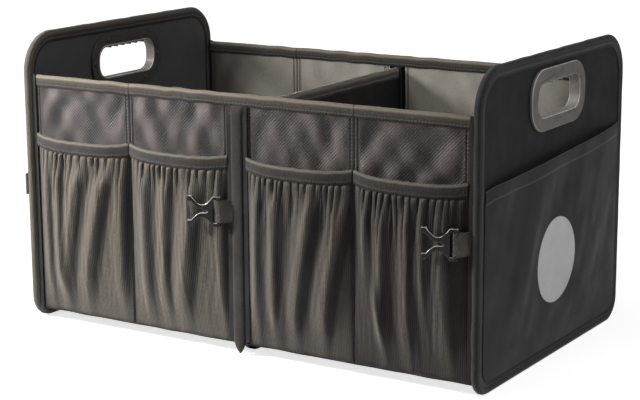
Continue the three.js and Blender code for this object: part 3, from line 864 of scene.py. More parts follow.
@dataclass
class Studio:
    """Camera, lamps, world and floor.

    Attributes:
        azimuth: Where the camera stands round the box, in degrees from its front.
        elevation: How far the camera looks down, in degrees.
        roll: Turn of the camera about its line of sight, in degrees.
        place: The camera's place.
        lens: Focal length, in millimetres on a 36 mm sensor.
    """

    azimuth: float = 32.03
    elevation: float = 12.49
    roll: float = -0.33
    place: tuple[float, float, float] = (1.0835, -1.7402, 0.5991)
    lens: float = 99.06

    def build(self) -> None:
        """Makes the camera, the lamps, the world and the floor."""
        self._camera()
        self._world()
        self._lamp("key softbox", (-0.7, -0.68, 0.6), (-0.12, -0.18, 0.12), 0.2, 1.7, 60)
        self._lamp("front softbox", (-0.55, -1.3, 1.3), (-0.1, -0.1, 0.15), 0.6, 3.2)
        self._lamp("top softbox", (-0.5, -0.45, 1.5), (-0.1, 0.1, 0.1), 0.9, 6.5)
        self._lamp("right softbox", (1.2, -0.3, 1.2), (0.0, 0.0, 0.25), 0.5, 6.0)
        self._floor()

    def _camera(self) -> None:
        """Sets the camera at the photograph's place and angle."""
        turn, dip, roll = (math.radians(a) for a in (self.azimuth, self.elevation, self.roll))
        back = Vector((math.sin(turn) * math.cos(dip), -math.cos(turn) * math.cos(dip), math.sin(dip)))
        right = Vector((math.cos(turn), math.sin(turn), 0))
        up = back.cross(right)
        c, s = math.cos(roll), math.sin(roll)
        rows = Matrix((c * right + s * up, c * up - s * right, back))
        data = bpy.data.cameras.new("camera")
        data.sensor_width = 36
        data.lens = self.lens
        camera = bpy.data.objects.new("camera", data)
        camera.matrix_world = Matrix.Translation(self.place) @ rows.transposed().to_4x4()
        bpy.context.scene.collection.objects.link(camera)
        bpy.context.scene.camera = camera
        bpy.context.scene.view_settings.view_transform = "Standard"

    @staticmethod
    def _world() -> None:
        """A dim even world that the camera sees as white."""
        world = bpy.data.worlds.new("studio")
        world.use_nodes = True
        graph = Graph(world.node_tree)
        seen = graph.node("ShaderNodeLightPath").outputs["Is Camera Ray"]
        strength = graph.span(seen, 0.0, 1.0, 0.09, 1.0)
        graph.join(world.node_tree.nodes["Background"], {"Color": (1, 1, 1, 1), "Strength": strength})
        bpy.context.scene.world = world

    @staticmethod
    def _lamp(name: str, place: Sequence[float], target: Sequence[float], size: float, power: float,
              spread: float = 180) -> None:
        """Hangs a square softbox.

        Args:
            name: The lamp's name.
            place: Where it hangs.
            target: The place that it faces.
            size: Length of its side.
            power: Its power in watts.
            spread: Angle that its grid lets light through, in degrees.
        """
        data = bpy.data.lights.new(name, "AREA")
        data.spread = math.radians(spread)
        data.size = size
        data.energy = power
        lamp = bpy.data.objects.new(name, data)
        lamp.location = place
        lamp.rotation_euler = (Vector(place) - Vector(target)).to_track_quat("Z", "Y").to_euler()
        bpy.context.scene.collection.objects.link(lamp)

    @staticmethod
    def _floor() -> None:
        """A pale floor that keeps the box's shadow."""
        bpy.ops.object.select_all(action="DESELECT")
        bpy.ops.mesh.primitive_plane_add(size=30)
        floor = bpy.context.object
        floor.name = "studio_floor"
        material, graph, shader = Graph.opened("pale floor")
        pale = {"Base Color": (0.85, 0.85, 0.85, 1), "Roughness": 0.9, "Specular IOR Level": 0.1}
        graph.join(shader, pale)
        away = graph.node("ShaderNodeVectorMath", {0: graph.place()}, operation="LENGTH").outputs["Value"]
        seen = graph.node("ShaderNodeLightPath").outputs["Is Camera Ray"]
        level = graph.times(seen, graph.span(away, 0.3, 0.9, 0.75, 1.05))
        glow = graph.node("ShaderNodeEmission", {"Strength": level})
        both = graph.node("ShaderNodeAddShader", {0: shader.outputs[0], 1: glow.outputs[0]})
        graph.join(material.node_tree.nodes["Material Output"], {"Surface": both.outputs[0]})
        floor.data.materials.append(material)


@dataclass
class WallPanel:
    """One stiff panel of the front or the back wall, covered with cloth, and the tape along its top.

    Attributes:
        face: Front or back.
        side: Left or right compartment.
        bay: Inner or outer panel.
        channel: Distance of the stitched channel from the ends of the panel.
        crease: Height of the cover's loose folds.
        pocket_top: Height below which a pocket holds the front's cover flat.
    """

    face: Face
    side: Side
    bay: Bay
    channel: float = 4.2 * MM
    crease: float = 1.4 * MM
    pocket_top: float = 229 * MM

    @property
    def body(self) -> str:
        """Name of the body that the panel is."""
        return f"{self.face.word}_{self.side.word}_{self.bay.word}"

    def _folds(self, x: Array, z: Array) -> Array:
        """The cover's loose folds, which run two ways, from about -1 to 1."""
        seed = 3 * self.side.value + 5 * self.bay.value + 2
        steep, leaning = Waves(38 * MM, 62, 16, seed), Waves(34 * MM, 116, 14, seed + 1)
        return 0.75 * steep.at(x, z) + 0.55 * leaning.at(x, z)

    def _relief(self, x: Array, z: Array, low: Sequence[float], high: Sequence[float],
                shift: float) -> Array:
        """How far the cover stands out from the board.

        Args:
            x: Places along the panel.
            z: Heights.
            low: Lowest corner of the board.
            high: Highest corner of the board.
            shift: How far the folds are moved along the panel: none on the outer face.

        Returns:
            One distance for each place.
        """
        edge = np.minimum(x - low[0], high[0] - x)
        free = ease(self.channel, self.channel + 8 * MM, edge)
        free = free * ease(high[2] - 15 * MM, high[2] - 36 * MM, z)
        free = free * ease(low[2] + 2 * MM, low[2] + 24 * MM, z)
        if self.face is Face.BACK or shift:
            free = 0.35 * free
        else:
            free = free * (0.1 + 0.9 * ease(self.pocket_top - 16 * MM, self.pocket_top + 4 * MM, z))
        loose = np.maximum(self.crease * self._folds(x + shift, z), -1.2 * MM) * free
        return loose - 0.7 * MM * hump(edge - self.channel, 0.9 * MM) - 0.6 * MM * hump(edge, 1.0 * MM)

    def _board(self) -> Piece:
        """The panel, with a cover that is loose on both faces."""
        low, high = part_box(f"{self.body}_wall")
        near_end = np.linspace(0, 8 * MM, 17)
        columns = [np.linspace(low[0], high[0], 56), low[0] + near_end, high[0] - near_end]
        x, z = np.meshgrid(np.unique(np.concatenate(columns)), np.linspace(low[2], high[2], 113))
        way = self.face.value
        near, far = (low[1], high[1]) if way < 0 else (high[1], low[1])
        outer = np.stack([x, near + way * self._relief(x, z, low, high, 0.0), z], -1)
        inner = np.stack([x, far - way * self._relief(x, z, low, high, 0.7), z], -1)
        edge = np.minimum(x - low[0], high[0] - x)
        # Painted shade and highlight: on the outer face the folds are lighter where they stand out and
        # darker in their hollows, most on the front; the lining gets a weaker copy and a painted shadow
        # towards the end panel's corner. The seams are darker too.
        raised = self._folds(x, z) * ease(self.channel, self.channel + 10 * MM, edge)
        sewn = 0.9 * hump(edge - self.channel, 1.3 * MM) + 0.6 * hump(edge, 1.0 * MM)
        corner = 0.85 * ease(190 * MM, 275 * MM, np.abs(x))
        lit = 0.95 if self.face is Face.FRONT else 0.4
        shade = np.stack([sewn - lit * raised, sewn - 0.12 * raised + corner])
        piece = Workshop.shell(f"{self.body}_covered_wall", outer, inner, np.stack([x, z], -1), shade)
        Workshop.smooth(piece, 60)
        Finishes.dress(piece, Finishes.wall)
        count = (x.shape[0] - 1) * (x.shape[1] - 1)
        Finishes.line(piece, Finishes.lining, range(count, 2 * count))
        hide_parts(f"{self.body}_wall")
        return piece

    def _tape(self) -> Piece:
        """The binding along the top edge."""
        node = f"{self.body}_top_tape"
        piece = Binding.straight(f"{self.body}_binding", node, self.face.value, 60, Waves(40 * MM, 90, 0, 5))
        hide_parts(node)
        f"{self.body}_covered_wall"
        return piece

    def build(self) -> None:
        """Makes the panel and its tape."""
        for piece in (self._board(), self._tape()):
            Workshop.mount(piece, self.body)


@dataclass(frozen=True)
class Fold:
    """One fold of a gathered pocket, in millimetres from the pocket's left edge.

    Attributes:
        top: Where it starts under the hem.
        bottom: Where it ends at the bottom.
        height: How far it stands out.
        lit: Half width of its left slope.
        dark: Half width of its right slope.
        start: Share of the pocket's height at which it begins.
        end: Share of the pocket's height at which it runs out.
        cast: How many times wider than its right slope its shadow is.
    """

    top: float
    bottom: float
    height: float = 5.0
    lit: float = 12.0
    dark: float = 6.0
    start: float = 1.0
    end: float = 0.0
    cast: float = 1.0


@dataclass
class GatheredPocket:
    """A gathered pocket on a front panel, with its elastic hem.

    Attributes:
        side: Left or right compartment.
        bay: Inner or outer panel.
        folds: Its long folds.
        seed: Picks one set of puckers.
        pressed: How far a buckle presses the folds flat behind it, from 0 to 1.
        gloom: How much painted shade darkens it below the hem, less on the lit sides of its folds, for a
            pocket that gets less light.
        base: How far the pocket stands out under its folds.
        puckers: Number of small gathers under the hem.
        height: Height of the pocket.
        hem_height: Height of the elastic hem.
        sag: How far the hem sags in the middle.
        cloth: Thickness of the cloth.
        gap: Distance between the wall and the cloth's edges.
        strap: Place across, half width, height and half height of the buckle, in millimetres.
    """

    side: Side
    bay: Bay
    folds: Sequence[Fold]
    seed: int
    pressed: float = 0.0
    gloom: float = 0.0
    base: float = 12 * MM
    puckers: int = 16
    height: float = 213.7 * MM
    hem_height: float = 15 * MM
    sag: float = 4 * MM
    cloth: float = 0.7 * MM
    gap: float = 0.5 * MM
    strap: tuple[float, float, float, float] = (108.0, 26.0, 166.0, 24.0)

    def __post_init__(self) -> None:
        """Takes the pocket's place from the frame."""
        self.name = f"{self.side.word}_{self.bay.word}"
        self.body = f"front_{self.name}"
        low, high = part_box(f"{self.name}_pocket")
        self.x0, self.x1 = low[0], high[0]
        self.width = self.x1 - self.x0
        self.z0 = low[2]
        self.z1 = self.z0 + self.height
        self.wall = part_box(f"{self.body}_wall")[0][1]

    def _bulge(self, u: Array, v: Array) -> Array:
        """How far the pocket bulges, as its solid does."""
        across = 1 - np.abs(2 * u - 1) ** (4 - 1.6 * v ** 4)
        return across * (1 - (1 - v) ** 3) * (1 - 0.15 * v)

    def _top(self, u: Array) -> Array:
        """How far the hem sags."""
        return self.sag * (1 - (2 * u - 1) ** 4)

    def _long_folds(self, x: Array, v: Array) -> tuple[Array, Array]:
        """The height of the long folds, in millimetres, and their painted shadow and painted highlight."""
        total = np.zeros(x.shape)
        shade = np.zeros(x.shape)
        for fold in self.folds:
            away = x - (fold.bottom + (fold.top - fold.bottom) * v ** 1.15)
            side = np.where(away < 0, fold.lit, fold.dark)
            reach = ease(fold.end - 0.18, fold.end + 0.3, v) * ease(fold.start + 0.05, fold.start - 0.2, v)
            total += 1.5 * fold.height * (0.2 + 0.8 * reach) * reach * hump(away, side)
            shade += 0.9 * reach * hump(away - (0.15 + fold.cast) * fold.dark, 0.75 * fold.cast * fold.dark)
            shade -= 0.55 * reach * hump(away + 0.2 * fold.lit, 0.5 * fold.lit)
        return total, shade

    def _puckers(self, x: Array, drop: Array, width: float) -> tuple[Array, Array]:
        """The height of the small gathers under the hem, in millimetres, and their painted shade between
        them and painted highlight on their tops.
        """
        rng = np.random.RandomState(self.seed)
        steps = rng.uniform(0.65, 1.45, self.puckers)
        marks = np.concatenate([[0], np.cumsum(steps)]) * width / steps.sum()
        sizes = rng.uniform(0.6, 1.15, self.puckers)
        reach = rng.uniform(10, 50, self.puckers)
        drift = rng.uniform(-0.10, 0.06, self.puckers)
        index = np.clip(np.searchsorted(marks, x, "right") - 1, 0, self.puckers - 1)
        moved = np.clip(x - drift[index] * drop, 0, width - 1e-6)
        index = np.clip(np.searchsorted(marks, moved, "right") - 1, 0, self.puckers - 1)
        part = (moved - marks[index]) / (marks[index + 1] - marks[index])
        round_top = np.clip(np.sin(math.pi * part), 0, 1) ** 0.72
        fade = np.exp(-((drop / reach[index]) ** 1.4)) * ease(0.0, 3.0, drop)
        shade = np.exp(-((drop / (0.6 * reach[index])) ** 1.4)) * (1.35 - 1.8 * round_top)
        shade -= 0.7 * hump(drop - 3.5, 2.5) * round_top ** 3
        return 5.4 * sizes[index] * fade * round_top, shade

    def _surface(self, x: Array, z: Array) -> tuple[Array, Array]:
        """Places of the cloth, and its shade, for places across and up the pocket."""
        u, v = (x - self.x0) / self.width, (z - self.z0) / self.height
        across, drop = (x - self.x0) / MM, (self.z1 - self.hem_height - z) / MM
        width = self.width / MM
        gathered = 1 - np.clip(-drop, 0, 1)
        share = np.clip((z - self.z0) / (self.height - self.hem_height), 0, 1)
        long_folds, cast = self._long_folds(across, share)
        puckers, shade = self._puckers(across, np.maximum(drop, 0), width)
        # Painted shade and highlight: the gathers' and the long folds' own, a general darkening with the
        # gloom, a painted shadow just under the hem, and darker lines along the bottom and the two sides.
        gloom = self.gloom * (1 - 0.6 * np.clip(-cast, 0, 1))
        shade = shade * gathered + (cast + 0.15 + gloom + 0.4 * hump(drop, 2.0)) * ease(-1, 1, drop)
        shade += 0.9 * hump(z - self.z0, 2.2 * MM)
        shade += 0.6 * hump(across, 3.0) + 0.6 * hump(width - across, 3.0)
        middle, half_width, level, half_height = self.strap
        under = hump(across - middle, half_width) * hump(z / MM - level, half_height)
        relief = (long_folds + puckers) * (1 - self.pressed * under)
        relief *= gathered * ease(0, 6, across) * ease(0, 6, width - across)
        relief += 0.35 * Waves(9 * MM, 86, 12, self.seed).at(x, z) * gathered
        shape = self._bulge(u, v)
        foot = 0.35 + 0.65 * ease(0, 0.2, v)
        out = np.maximum(shape * self.base + relief * MM * foot * np.sqrt(shape), 0)
        flutter = 0.8 * MM * np.abs(Waves(30 * MM, 90, 0, self.seed + 1).along(x)) * (1 - v) ** 6
        places = np.stack([x, self.wall - self.gap - out, z - self._top(u) * v ** 3 + flutter], -1)
        return places, np.clip(shade, -1, 1)

    def _cloth(self) -> Piece:
        """The gathered cloth."""
        below = (self.height - self.hem_height) * np.linspace(1, 0, 112) ** 1.5
        rows = np.concatenate([self.z1 - self.hem_height - below, self.z1 - np.array([12, 8, 3]) * MM])
        x, z = np.meshgrid(np.linspace(self.x0, self.x1, 205), rows)
        points, shade = self._surface(x, z)
        steps = np.linalg.norm(np.diff(points, axis=1), axis=2)
        way = np.concatenate([np.zeros((len(rows), 1)), np.cumsum(steps, axis=1)], axis=1)
        uv = np.stack([way / way[:, -1:] * GATHER * self.width, z - self.z0], -1)
        piece = Workshop.sheet(f"{self.name}_gathered_pocket", points, uv, shade)
        Workshop.thicken(piece, self.cloth, 80)
        Finishes.dress(piece, Finishes.pocket)
        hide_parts(f"{self.name}_pocket")
        return piece

    def _hem(self) -> Piece:
        """The elastic binding along the top of the cloth."""
        x = np.linspace(self.x0, self.x1, 90)
        u = (x - self.x0) / self.width
        half = 1.9 * MM
        y = self.wall - self.gap - half + self.cloth - self._bulge(u, np.ones_like(u)) * self.base
        wander = 0.25 * MM * Waves(16 * MM, 90, 0, self.seed).along(x)
        spine = np.stack([x, y, self.z1 - self._top(u) + wander], -1)
        tangent = np.gradient(spine, axis=0)
        outward = np.stack([tangent[:, 1], -tangent[:, 0], 0 * x], -1)
        outward /= np.linalg.norm(outward, axis=1, keepdims=True)
        rise = np.broadcast_to(np.array([0.0, 0, 1]), spine.shape)
        tape = Binding(half, self.hem_height, 0.7 * MM, finish=Finishes.hem)
        piece = tape.sweep(f"{self.name}_elastic_hem", spine, rise, outward)
        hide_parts(f"{self.name}_pocket_hem")
        return piece

    def build(self) -> None:
        """Makes the pocket and its hem."""
        cloth, hem = self._cloth(), self._hem()
        f"{self.body}_covered_wall"
        for piece in (cloth, hem):
            Workshop.mount(piece, self.body)
            f"fold_{self.side.word}"
            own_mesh(piece)


@dataclass
class EndAssembly:
    """What is sewn to one end panel: its edge tape and its flat pocket, and the disc on the right one.

    Attributes:
        side: Left or right end.
        tape_width: Depth of the edge tape's flanges.
        upper_radius: Radius of the panel's upper corners.
        lower_radius: Radius of the panel's lower corners.
        pocket_rest: How far the pocket stands off at its edges.
        pocket_bulge: How far it stands off in its middle.
        front_top: Height of its top edge at the front.
        back_top: Height of its top edge at the back.
        hem: Height of its folded hem.
        crease: Height of its soft folds.
    """

    side: Side
    tape_width: float = 14 * MM
    upper_radius: float = 46 * MM
    lower_radius: float = 28 * MM
    pocket_rest: float = 1.5 * MM
    pocket_bulge: float = 8 * MM
    front_top: float = 222 * MM
    back_top: float = 240 * MM
    hem: float = 15 * MM
    crease: float = 1.5 * MM

    def __post_init__(self) -> None:
        """Takes the end's place from the frame."""
        low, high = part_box("reflecting_disc")
        self.disc_place = [(low[axis] + high[axis]) / 2 for axis in (1, 2)]
        self.disc_radius = (high[2] - low[2]) / 2
        self.name = self.side.word
        self.body = f"{self.name}_end"
        low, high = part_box(f"{self.name}_edge_tape")
        self.half_depth, self.height = high[1], high[2]
        self.middle = (low[0] + high[0]) / 2
        self.half = (high[0] - low[0]) / 2
        self.board = max(abs(corner[0]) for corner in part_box(f"{self.name}_end_panel"))
        self.pocket_bottom = self.tape_width + 0.3 * MM
        self.pocket_half = self.half_depth - self.pocket_bottom

    def _outline(self, step: float) -> tuple[Array, Array]:
        """Places round the panel's edge in Y and Z, about a step apart, and the way outwards at each."""
        low, high = self.lower_radius, self.upper_radius
        corners = [
            (self.half_depth - low, low, low, -90),
            (self.half_depth - high, self.height - high, high, 0),
            (high - self.half_depth, self.height - high, high, 90),
            (low - self.half_depth, low, low, 180),
        ]
        nodes = []
        for y, z, radius, start in corners:
            count = max(4, int(radius * math.pi / 2 / step))
            angles = np.radians(start + np.linspace(0, 90, count))
            ways = np.stack([np.cos(angles), np.sin(angles)], -1)
            nodes.append(np.concatenate([np.array([y, z]) + radius * ways, ways], axis=1))
        nodes = np.concatenate([*nodes, nodes[0][:1]])
        dense = []
        for a, b in zip(nodes, nodes[1:]):
            parts = max(1, int(np.linalg.norm(b[:2] - a[:2]) / step))
            dense += [a + (b - a) * t for t in np.arange(parts) / parts]
        dense = np.array([*dense, nodes[0]])
        return dense[:, :2], dense[:, 2:]

    def _edge_tape(self) -> Piece:
        """The binding round the whole edge."""
        places, ways = self._outline(4 * MM)
        ways = ways / np.linalg.norm(ways, axis=1, keepdims=True)
        length = travelled(places)
        turn = 2 * math.pi * length / length[-1]
        wander = 0.16 * MM * (np.sin(23 * turn) + 0.7 * np.sin(41 * turn + 1)) - 0.2 * MM
        flat = places + ways * wander[:, None]
        flat[:, 1] = np.maximum(flat[:, 1], 0)
        spine = np.column_stack([np.full(len(flat), self.middle), flat])
        rise = np.column_stack([np.zeros(len(ways)), ways])
        outward = np.broadcast_to(np.array([float(self.side.value), 0, 0]), spine.shape)
        finish = Finishes.left_tape if self.side is Side.LEFT else Finishes.right_tape
        tape = Binding(self.half, self.tape_width, 0.9 * MM, 0.6 * MM, finish)
        piece = tape.sweep(f"{self.name}_edge_binding", spine, rise, outward, True)
        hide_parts(f"{self.name}_edge_tape")
        return piece

    def _pocket_top(self, u: Array) -> Array:
        """Height of the pocket's top edge."""
        return self.front_top + (self.back_top - self.front_top) * u - 2.5 * MM * hump(u, 0.035)

    def _pocket_out(self, y: Array, z: Array) -> Array:
        """How far from the middle of the box the pocket's outer face lies."""
        u = (y + self.pocket_half) / (2 * self.pocket_half)
        v = (z - self.pocket_bottom) / (self._pocket_top(u) - self.pocket_bottom)
        free = (1 - (2 * np.clip(u, 0, 1) - 1) ** 4) * (1 - (1 - np.clip(v, 0, 1)) ** 5)
        soft = Waves(115 * MM, 70, 12, 4 + self.side.value).at(y, z)
        small = Waves(34 * MM, 60, 20, 9 + self.side.value).at(y, z)
        from_disc = np.hypot(y - self.disc_place[0], z - self.disc_place[1])
        calm = 1.0 if self.side is Side.LEFT else 0.25 + 0.75 * ease(45 * MM, 75 * MM, from_disc)
        folds = self.crease * (soft + 0.25 * small) * free * calm * ease(1.05, 0.8, v)
        return self.board + self.pocket_rest + (self.pocket_bulge - self.pocket_rest) * free + folds

    def _pocket(self) -> Piece:
        """The flat pocket, its top edge folded over and sewn down."""
        radius = self.lower_radius - self.tape_width
        share = [np.linspace(0, 0.07, 12), np.linspace(0.08, 0.92, 84), np.linspace(0.925, 1, 16)]
        u, v = np.meshgrid(np.linspace(0, 1, 140), np.concatenate(share))
        height = (self.front_top + self.back_top) / 2 - self.pocket_bottom
        rise = np.minimum(radius, v * height)
        tuck = radius - np.sqrt(np.maximum(radius**2 - (radius - rise) ** 2, 0))
        y = (self.pocket_half - tuck) * (2 * u - 1)
        top = self._pocket_top(u)
        z = self.pocket_bottom + v * (top - self.pocket_bottom)
        below = top - z
        hem = 0.7 * MM * ease(self.hem, self.hem - 1.6 * MM, below) - 0.5 * MM * hump(below, 1.2 * MM)
        points = np.stack([self.side.value * (self._pocket_out(y, z) + hem), y, z], -1)
        uv = np.stack([y, -below], -1)
        piece = Workshop.sheet(f"{self.name}_flat_pocket", points, uv, flip=self.side is Side.LEFT)
        Workshop.thicken(piece, 0.8 * MM)
        Finishes.dress(piece, Finishes.end_pocket)
        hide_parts(f"{self.name}_end_pocket")
        return piece

    def _disc(self) -> Piece:
        """The reflecting disc that is pressed onto the right pocket."""
        turns = np.linspace(0, 2 * math.pi, 97)
        turn, share = np.meshgrid(turns, np.concatenate([[0.01], np.linspace(0.08, 0.97, 22), [0.99, 1.0]]))
        y = self.disc_place[0] + self.disc_radius * share * np.cos(turn)
        z = self.disc_place[1] + self.disc_radius * share * np.sin(turn)
        out = self._pocket_out(y, z) + 0.7 * MM - 0.15 * MM * ease(0.97, 1.0, share)
        points = np.stack([out, y, z], -1)
        piece = Workshop.sheet("reflecting_film", points, np.stack([y, z], -1), None, True, True)
        Workshop.cap(piece, 0, len(turns) - 1)
        Workshop.thicken(piece, 0.5 * MM)
        Finishes.dress(piece, Finishes.reflector)
        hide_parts("reflecting_disc")
        return piece

    def build(self) -> None:
        """Makes the end's cloth pieces, and finishes its carried-over nodes."""
        made = [self._edge_tape(), self._pocket()]
        if self.side is Side.RIGHT:
            made.append(self._disc())
        for piece in made:
            Workshop.mount(piece, self.body)
        cover = Finishes.left_end if self.side is Side.LEFT else Finishes.end
        Finishes.dress(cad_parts[f"{self.name}_end_panel"], cover)
        for face in Face:
            seam = Workshop.soften(f"{self.name}_{face.word}_corner_seam", 0.4 * MM)
            Finishes.dress(seam, Finishes.corner)
        grip = Workshop.soften(f"{self.name}_grip_frame", 0.9 * MM)
        Finishes.dress(grip, Finishes.grip, Finishes.grip_edge)
        Finishes.dress(Workshop.soften(f"{self.name}_grip_backing", 0.5 * MM), Finishes.backing)


@dataclass
class Middle:
    """The divider with its tape, the centre seams, the floor cloths and the mats.

    Attributes:
        web: Half width of the seam between the wall panels.
        flange: Half width of the seam's flat flanges.
        band: Half width of its crowned band.
        crown: Height of the band.
        foot: Height below which only the band is left, which ends in a point.
        under: How far the floor cloths reach under the long walls.
    """

    web: float = 6.1 * MM
    flange: float = 13.4 * MM
    band: float = 7.6 * MM
    crown: float = 2.5 * MM
    foot: float = 16 * MM
    under: float = 2.4 * MM

    def _divider_tape(self) -> Piece:
        """The binding along the divider's top."""
        waves = Waves(45 * MM, 90, 0, 8)
        piece = Binding.straight("divider_binding", "divider_top_tape", 1, 120, waves, axis=1)
        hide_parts("divider_top_tape")
        return piece

    def _centre_seam(self, face: Face) -> Piece:
        """The bound seam over one edge of the divider, with a crowned band that ends in a point."""
        inside = min(abs(corner[1]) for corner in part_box(f"{face.word}_centre_seam"))
        skin, plane = (abs(corner[1]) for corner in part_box("left_front_corner_seam"))
        turn = np.linspace(-1, 1, 25)
        crown = self.crown * (1 - np.abs(turn) ** 2.6) ** 0.6
        web, flat = self.web, self.flange
        x = np.concatenate([[web, -web, -web, -flat, -flat], self.band * turn, [flat, flat, web]])
        out = np.concatenate([[inside, inside, plane, plane, skin], skin + crown, [skin, plane, plane]])
        rows = np.concatenate([[3, 4, 6, 9, 12, 15], np.linspace(18, 284.6, 68)])[:, None] * MM
        low = rows < self.foot
        share = np.sqrt(ease(1.5 * MM, 18 * MM, rows))
        wide = np.where(low, np.minimum(np.abs(x), self.band), np.abs(x)) * np.sign(x)
        far = np.where(low, plane + (np.maximum(out, plane) - plane) * share, out)
        far = np.where(far > skin, skin + (far - skin) * ease(286 * MM, 276 * MM, rows), far)
        far = np.where(rows > 282 * MM, np.minimum(far, plane - 0.2 * MM), far)
        wander = 0.25 * MM * Waves(60 * MM, 0, 0, 4).along(rows)
        heights = np.broadcast_to(rows, far.shape)
        points = np.stack([wide * share + wander, face.value * far, heights], -1)
        points = np.concatenate([points, points[:, :1]], axis=1)
        way = travelled(np.stack([x, out], -1))
        way = np.concatenate([way, [way[-1] + 1 * MM]]) - way[5 + len(turn) // 2]
        uv = np.stack(np.broadcast_arrays(rows, way[None]), -1)
        # Painted shade: the flanges are darker, and so is each side of the band where it turns down to them.
        flank = np.concatenate([np.full(5, 0.8), 0.7 * hump(1 - np.abs(turn), 0.12), np.full(4, 0.8)])
        shade = np.broadcast_to(flank, points.shape[:2])
        piece = Workshop.sheet(f"{face.word}_bound_seam", points, uv, shade, True)
        Workshop.cap(piece, 0, len(x))
        Workshop.cap(piece, (len(rows) - 1) * len(x), len(x))
        Workshop.face_outwards(piece)
        Workshop.smooth(piece, 50)
        Finishes.dress(piece, Finishes.seam)
        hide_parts(f"{face.word}_centre_seam")
        return piece

    def _top_bindings(self, face: Face) -> None:
        """The wall's top tape where it runs on over the centre seam, and where it folds beside it."""
        node = f"{face.word}_right_inner_top_tape"
        ends = (-self.web, self.web)
        centre = Binding.straight(f"{face.word}_centre_binding", node, face.value, 12, ends=ends)
        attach(centre, "centre")
        for side in Side:
            wall = f"{face.word}_{side.word}_inner"
            low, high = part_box(f"{wall}_top_tape")
            hinge = low[0] if side is Side.RIGHT else high[0]
            start, end = side.value * self.web, hinge + side.value * 0.1 * MM
            name, ends = f"{face.word}_{side.word}_hinge_binding", (min(start, end), max(start, end))
            piece = Binding.straight(name, node, face.value, 12, ends=ends)
            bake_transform(piece)
        f"{face.word}_bound_seam"

    def _floor_cloth(self, side: Side) -> None:
        """The cloth under one compartment."""
        low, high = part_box(f"{side.word}_bottom_cloth")
        depth = np.linspace(low[1] - self.under, high[1] + self.under, 100)
        x, y = np.meshgrid(np.linspace(low[0], high[0], 90), depth)
        ripple = 0.25 * MM * Waves(40 * MM, 40, 40, 6).at(x, y)
        points = np.stack([x, y, high[2] - 0.3 * MM + ripple], -1)
        piece = Workshop.sheet(f"{side.word}_floor_cloth", points, np.stack([x, y], -1))
        Workshop.thicken(piece, 0.9 * MM)
        Finishes.dress(piece, Finishes.floor)
        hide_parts(f"{side.word}_bottom_cloth")
        Workshop.mount(piece, "centre")
        f"fold_{side.word}"
        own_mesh(piece)

    def build(self) -> None:
        """Makes the pieces and finishes the carried-over nodes."""
        Workshop.mount(self._divider_tape(), "centre")
        Finishes.dress(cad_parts["divider_panel"], Finishes.end)
        for face in Face:
            Workshop.mount(self._centre_seam(face), "centre")
            self._top_bindings(face)
        for side in Side:
            self._floor_cloth(side)
            Finishes.dress(Workshop.soften(f"{side.word}_base_mat", 1.0 * MM, 3), Finishes.mat)


@dataclass(frozen=True)
class Strap:
    """A short length of webbing, doubled round the bar of its buckle, measured in millimetres.

    Attributes:
        name: The strap's name.
        body: The body that it is sewn to.
        buckle: The node of its buckle.
        place: Where it is measured from, in X and Y.
        turn: The direction that it points in, in degrees.
        upper: Places of its upper layer from its seam on, along and across it.
        lower: Places of its lower layer.
        eye: Places round the buckle's bar.
        height: Height of its middle.
        width: Width of the webbing.
        cloth: Thickness of the webbing.
    """

    name: str
    body: str
    buckle: str
    place: tuple[float, float]
    turn: float
    upper: tuple[tuple[float, float], ...] = ((0.0, 0.6), (9.5, 0.6))
    lower: tuple[tuple[float, float], ...] = ((0.0, -0.6), (9.5, -0.6))
    eye: tuple[tuple[float, float], ...] = ((16.1, 3.15), (21.3, 3.15), (21.95, 2.4), (21.95, -2.4),
                                            (21.3, -3.15), (16.1, -3.15))
    height: float = 166.0
    width: float = 25.0
    cloth: float = 1.1

    def _line(self) -> Array:
        """The webbing's rounded line, along and across the strap."""
        line = np.array([*self.upper, *self.eye, *reversed(self.lower)])
        for _ in range(3):
            near, far = 0.75 * line[:-1] + 0.25 * line[1:], 0.25 * line[:-1] + 0.75 * line[1:]
            line = np.concatenate([line[:1], np.stack([near, far], 1).reshape(-1, 2), line[-1:]])
        return line

    def build(self) -> None:
        """Makes the webbing and finishes its buckle."""
        line = self._line()
        turn = math.radians(self.turn)
        x = self.place[0] + line[:, 0] * math.cos(turn) - line[:, 1] * math.sin(turn)
        y = self.place[1] + line[:, 0] * math.sin(turn) + line[:, 1] * math.cos(turn)
        across = np.linspace(-0.5, 0.5, 13) * self.width
        from_edge = np.abs(across) - 0.5 * self.width
        thin = 0.2 * hump(from_edge, 1.5)
        way = travelled(line)
        z = np.broadcast_to(self.height + across, (len(x), len(across)))
        points = np.stack([x[:, None] + 0 * thin, y[:, None] + thin, z], -1) * MM
        uv = np.stack(np.broadcast_arrays(way[:, None], across[None]), -1) * MM
        shade = np.broadcast_to(0.5 * hump(from_edge, 1.2), z.shape)
        piece = Workshop.sheet(f"{self.name}_webbing", points, uv, shade)
        Workshop.thicken(piece, self.cloth * MM, offset=0.0)
        Finishes.dress(piece, Finishes.webbing)
        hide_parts(f"{self.name}_strap")
        Workshop.mount(piece, self.body)
        Finishes.dress(Workshop.soften(self.buckle, 0.7 * MM), Finishes.buckle, Finishes.buckle_edge)


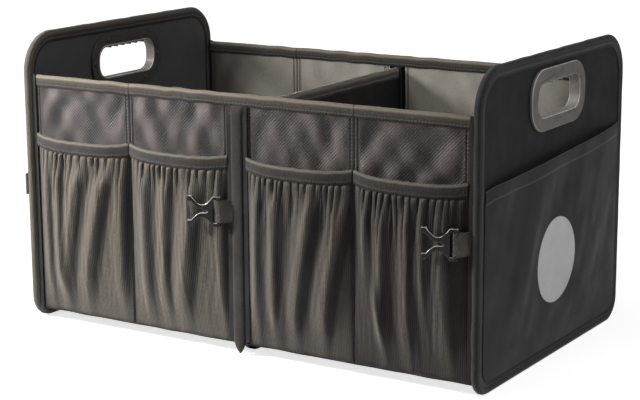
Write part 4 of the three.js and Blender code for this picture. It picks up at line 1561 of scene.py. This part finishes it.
STRAPS = [
    Strap("centre", "centre", "centre_buckle_plug", (0.0, -184.3), 197.0,
          ((3.5, -4.5), (7.2, -4.8), (11.0, -1.5)), ((3.5, -5.7), (7.0, -6.0), (11.0, -4.5))),
    Strap("right", "right_end", "right_buckle_plug", (297.0, -187.5), 194.0,
          ((5.2, -7.5), (8.6, -5.9), (12.0, -1.6)), ((4.6, -8.6), (8.0, -7.3), (11.8, -4.5))),
    Strap("left", "left_end", "left_buckle_socket", (-301.5, -185.0), 108.0),
]
LEFT_OUTER_FOLDS = [
    Fold(18, 14, 4.0, 9, 5), Fold(37, 38, 4.5, 10, 5), Fold(73, 36, 6.0, 17, 9), Fold(112, 66, 6.5, 16, 8),
    Fold(128, 122, 5.0, 12, 5),
]
LEFT_INNER_FOLDS = [
    Fold(24, 22, 5.0, 8, 9), Fold(59, 49, 5.0, 12, 6), Fold(100, 71, 6.5, 17, 9), Fold(126, 127, 4.5, 7, 5),
]
RIGHT_INNER_FOLDS = [
    Fold(17, 11, 4.5, 10, 7), Fold(45, 36, 5.0, 9, 8), Fold(97, 60, 6.5, 15, 7), Fold(133, 97, 7.0, 15, 6),
]
RIGHT_OUTER_FOLDS = [
    Fold(17, 14, 4.5, 7, 6, 1.0, 0.5), Fold(14, 41, 3.5, 7, 5, 0.55, 0.05), Fold(40, 37, 5.0, 9, 8),
    Fold(71, 68, 5.0, 12, 7), Fold(89, 87, 4.5, 9, 6, 1.0, 0.3), Fold(110, 116, 6.5, 16, 6, cast=2.6),
]


def main() -> None:
    """Builds the studio and every sub-assembly."""
    logging.basicConfig(level=logging.INFO, format="%(message)s")
    Studio().build()
    for face in Face:
        for side in Side:
            for bay in Bay:
                WallPanel(face, side, bay).build()
    GatheredPocket(Side.LEFT, Bay.OUTER, LEFT_OUTER_FOLDS, 11).build()
    GatheredPocket(Side.LEFT, Bay.INNER, LEFT_INNER_FOLDS, 22, pressed=0.6).build()
    GatheredPocket(Side.RIGHT, Bay.INNER, RIGHT_INNER_FOLDS, 33, gloom=0.3).build()
    GatheredPocket(Side.RIGHT, Bay.OUTER, RIGHT_OUTER_FOLDS, 44, pressed=0.6, gloom=0.65).build()
    for side in Side:
        EndAssembly(side).build()
    Middle().build()
    for strap in STRAPS:
        strap.build()


if __name__ == "__main__":
    main()
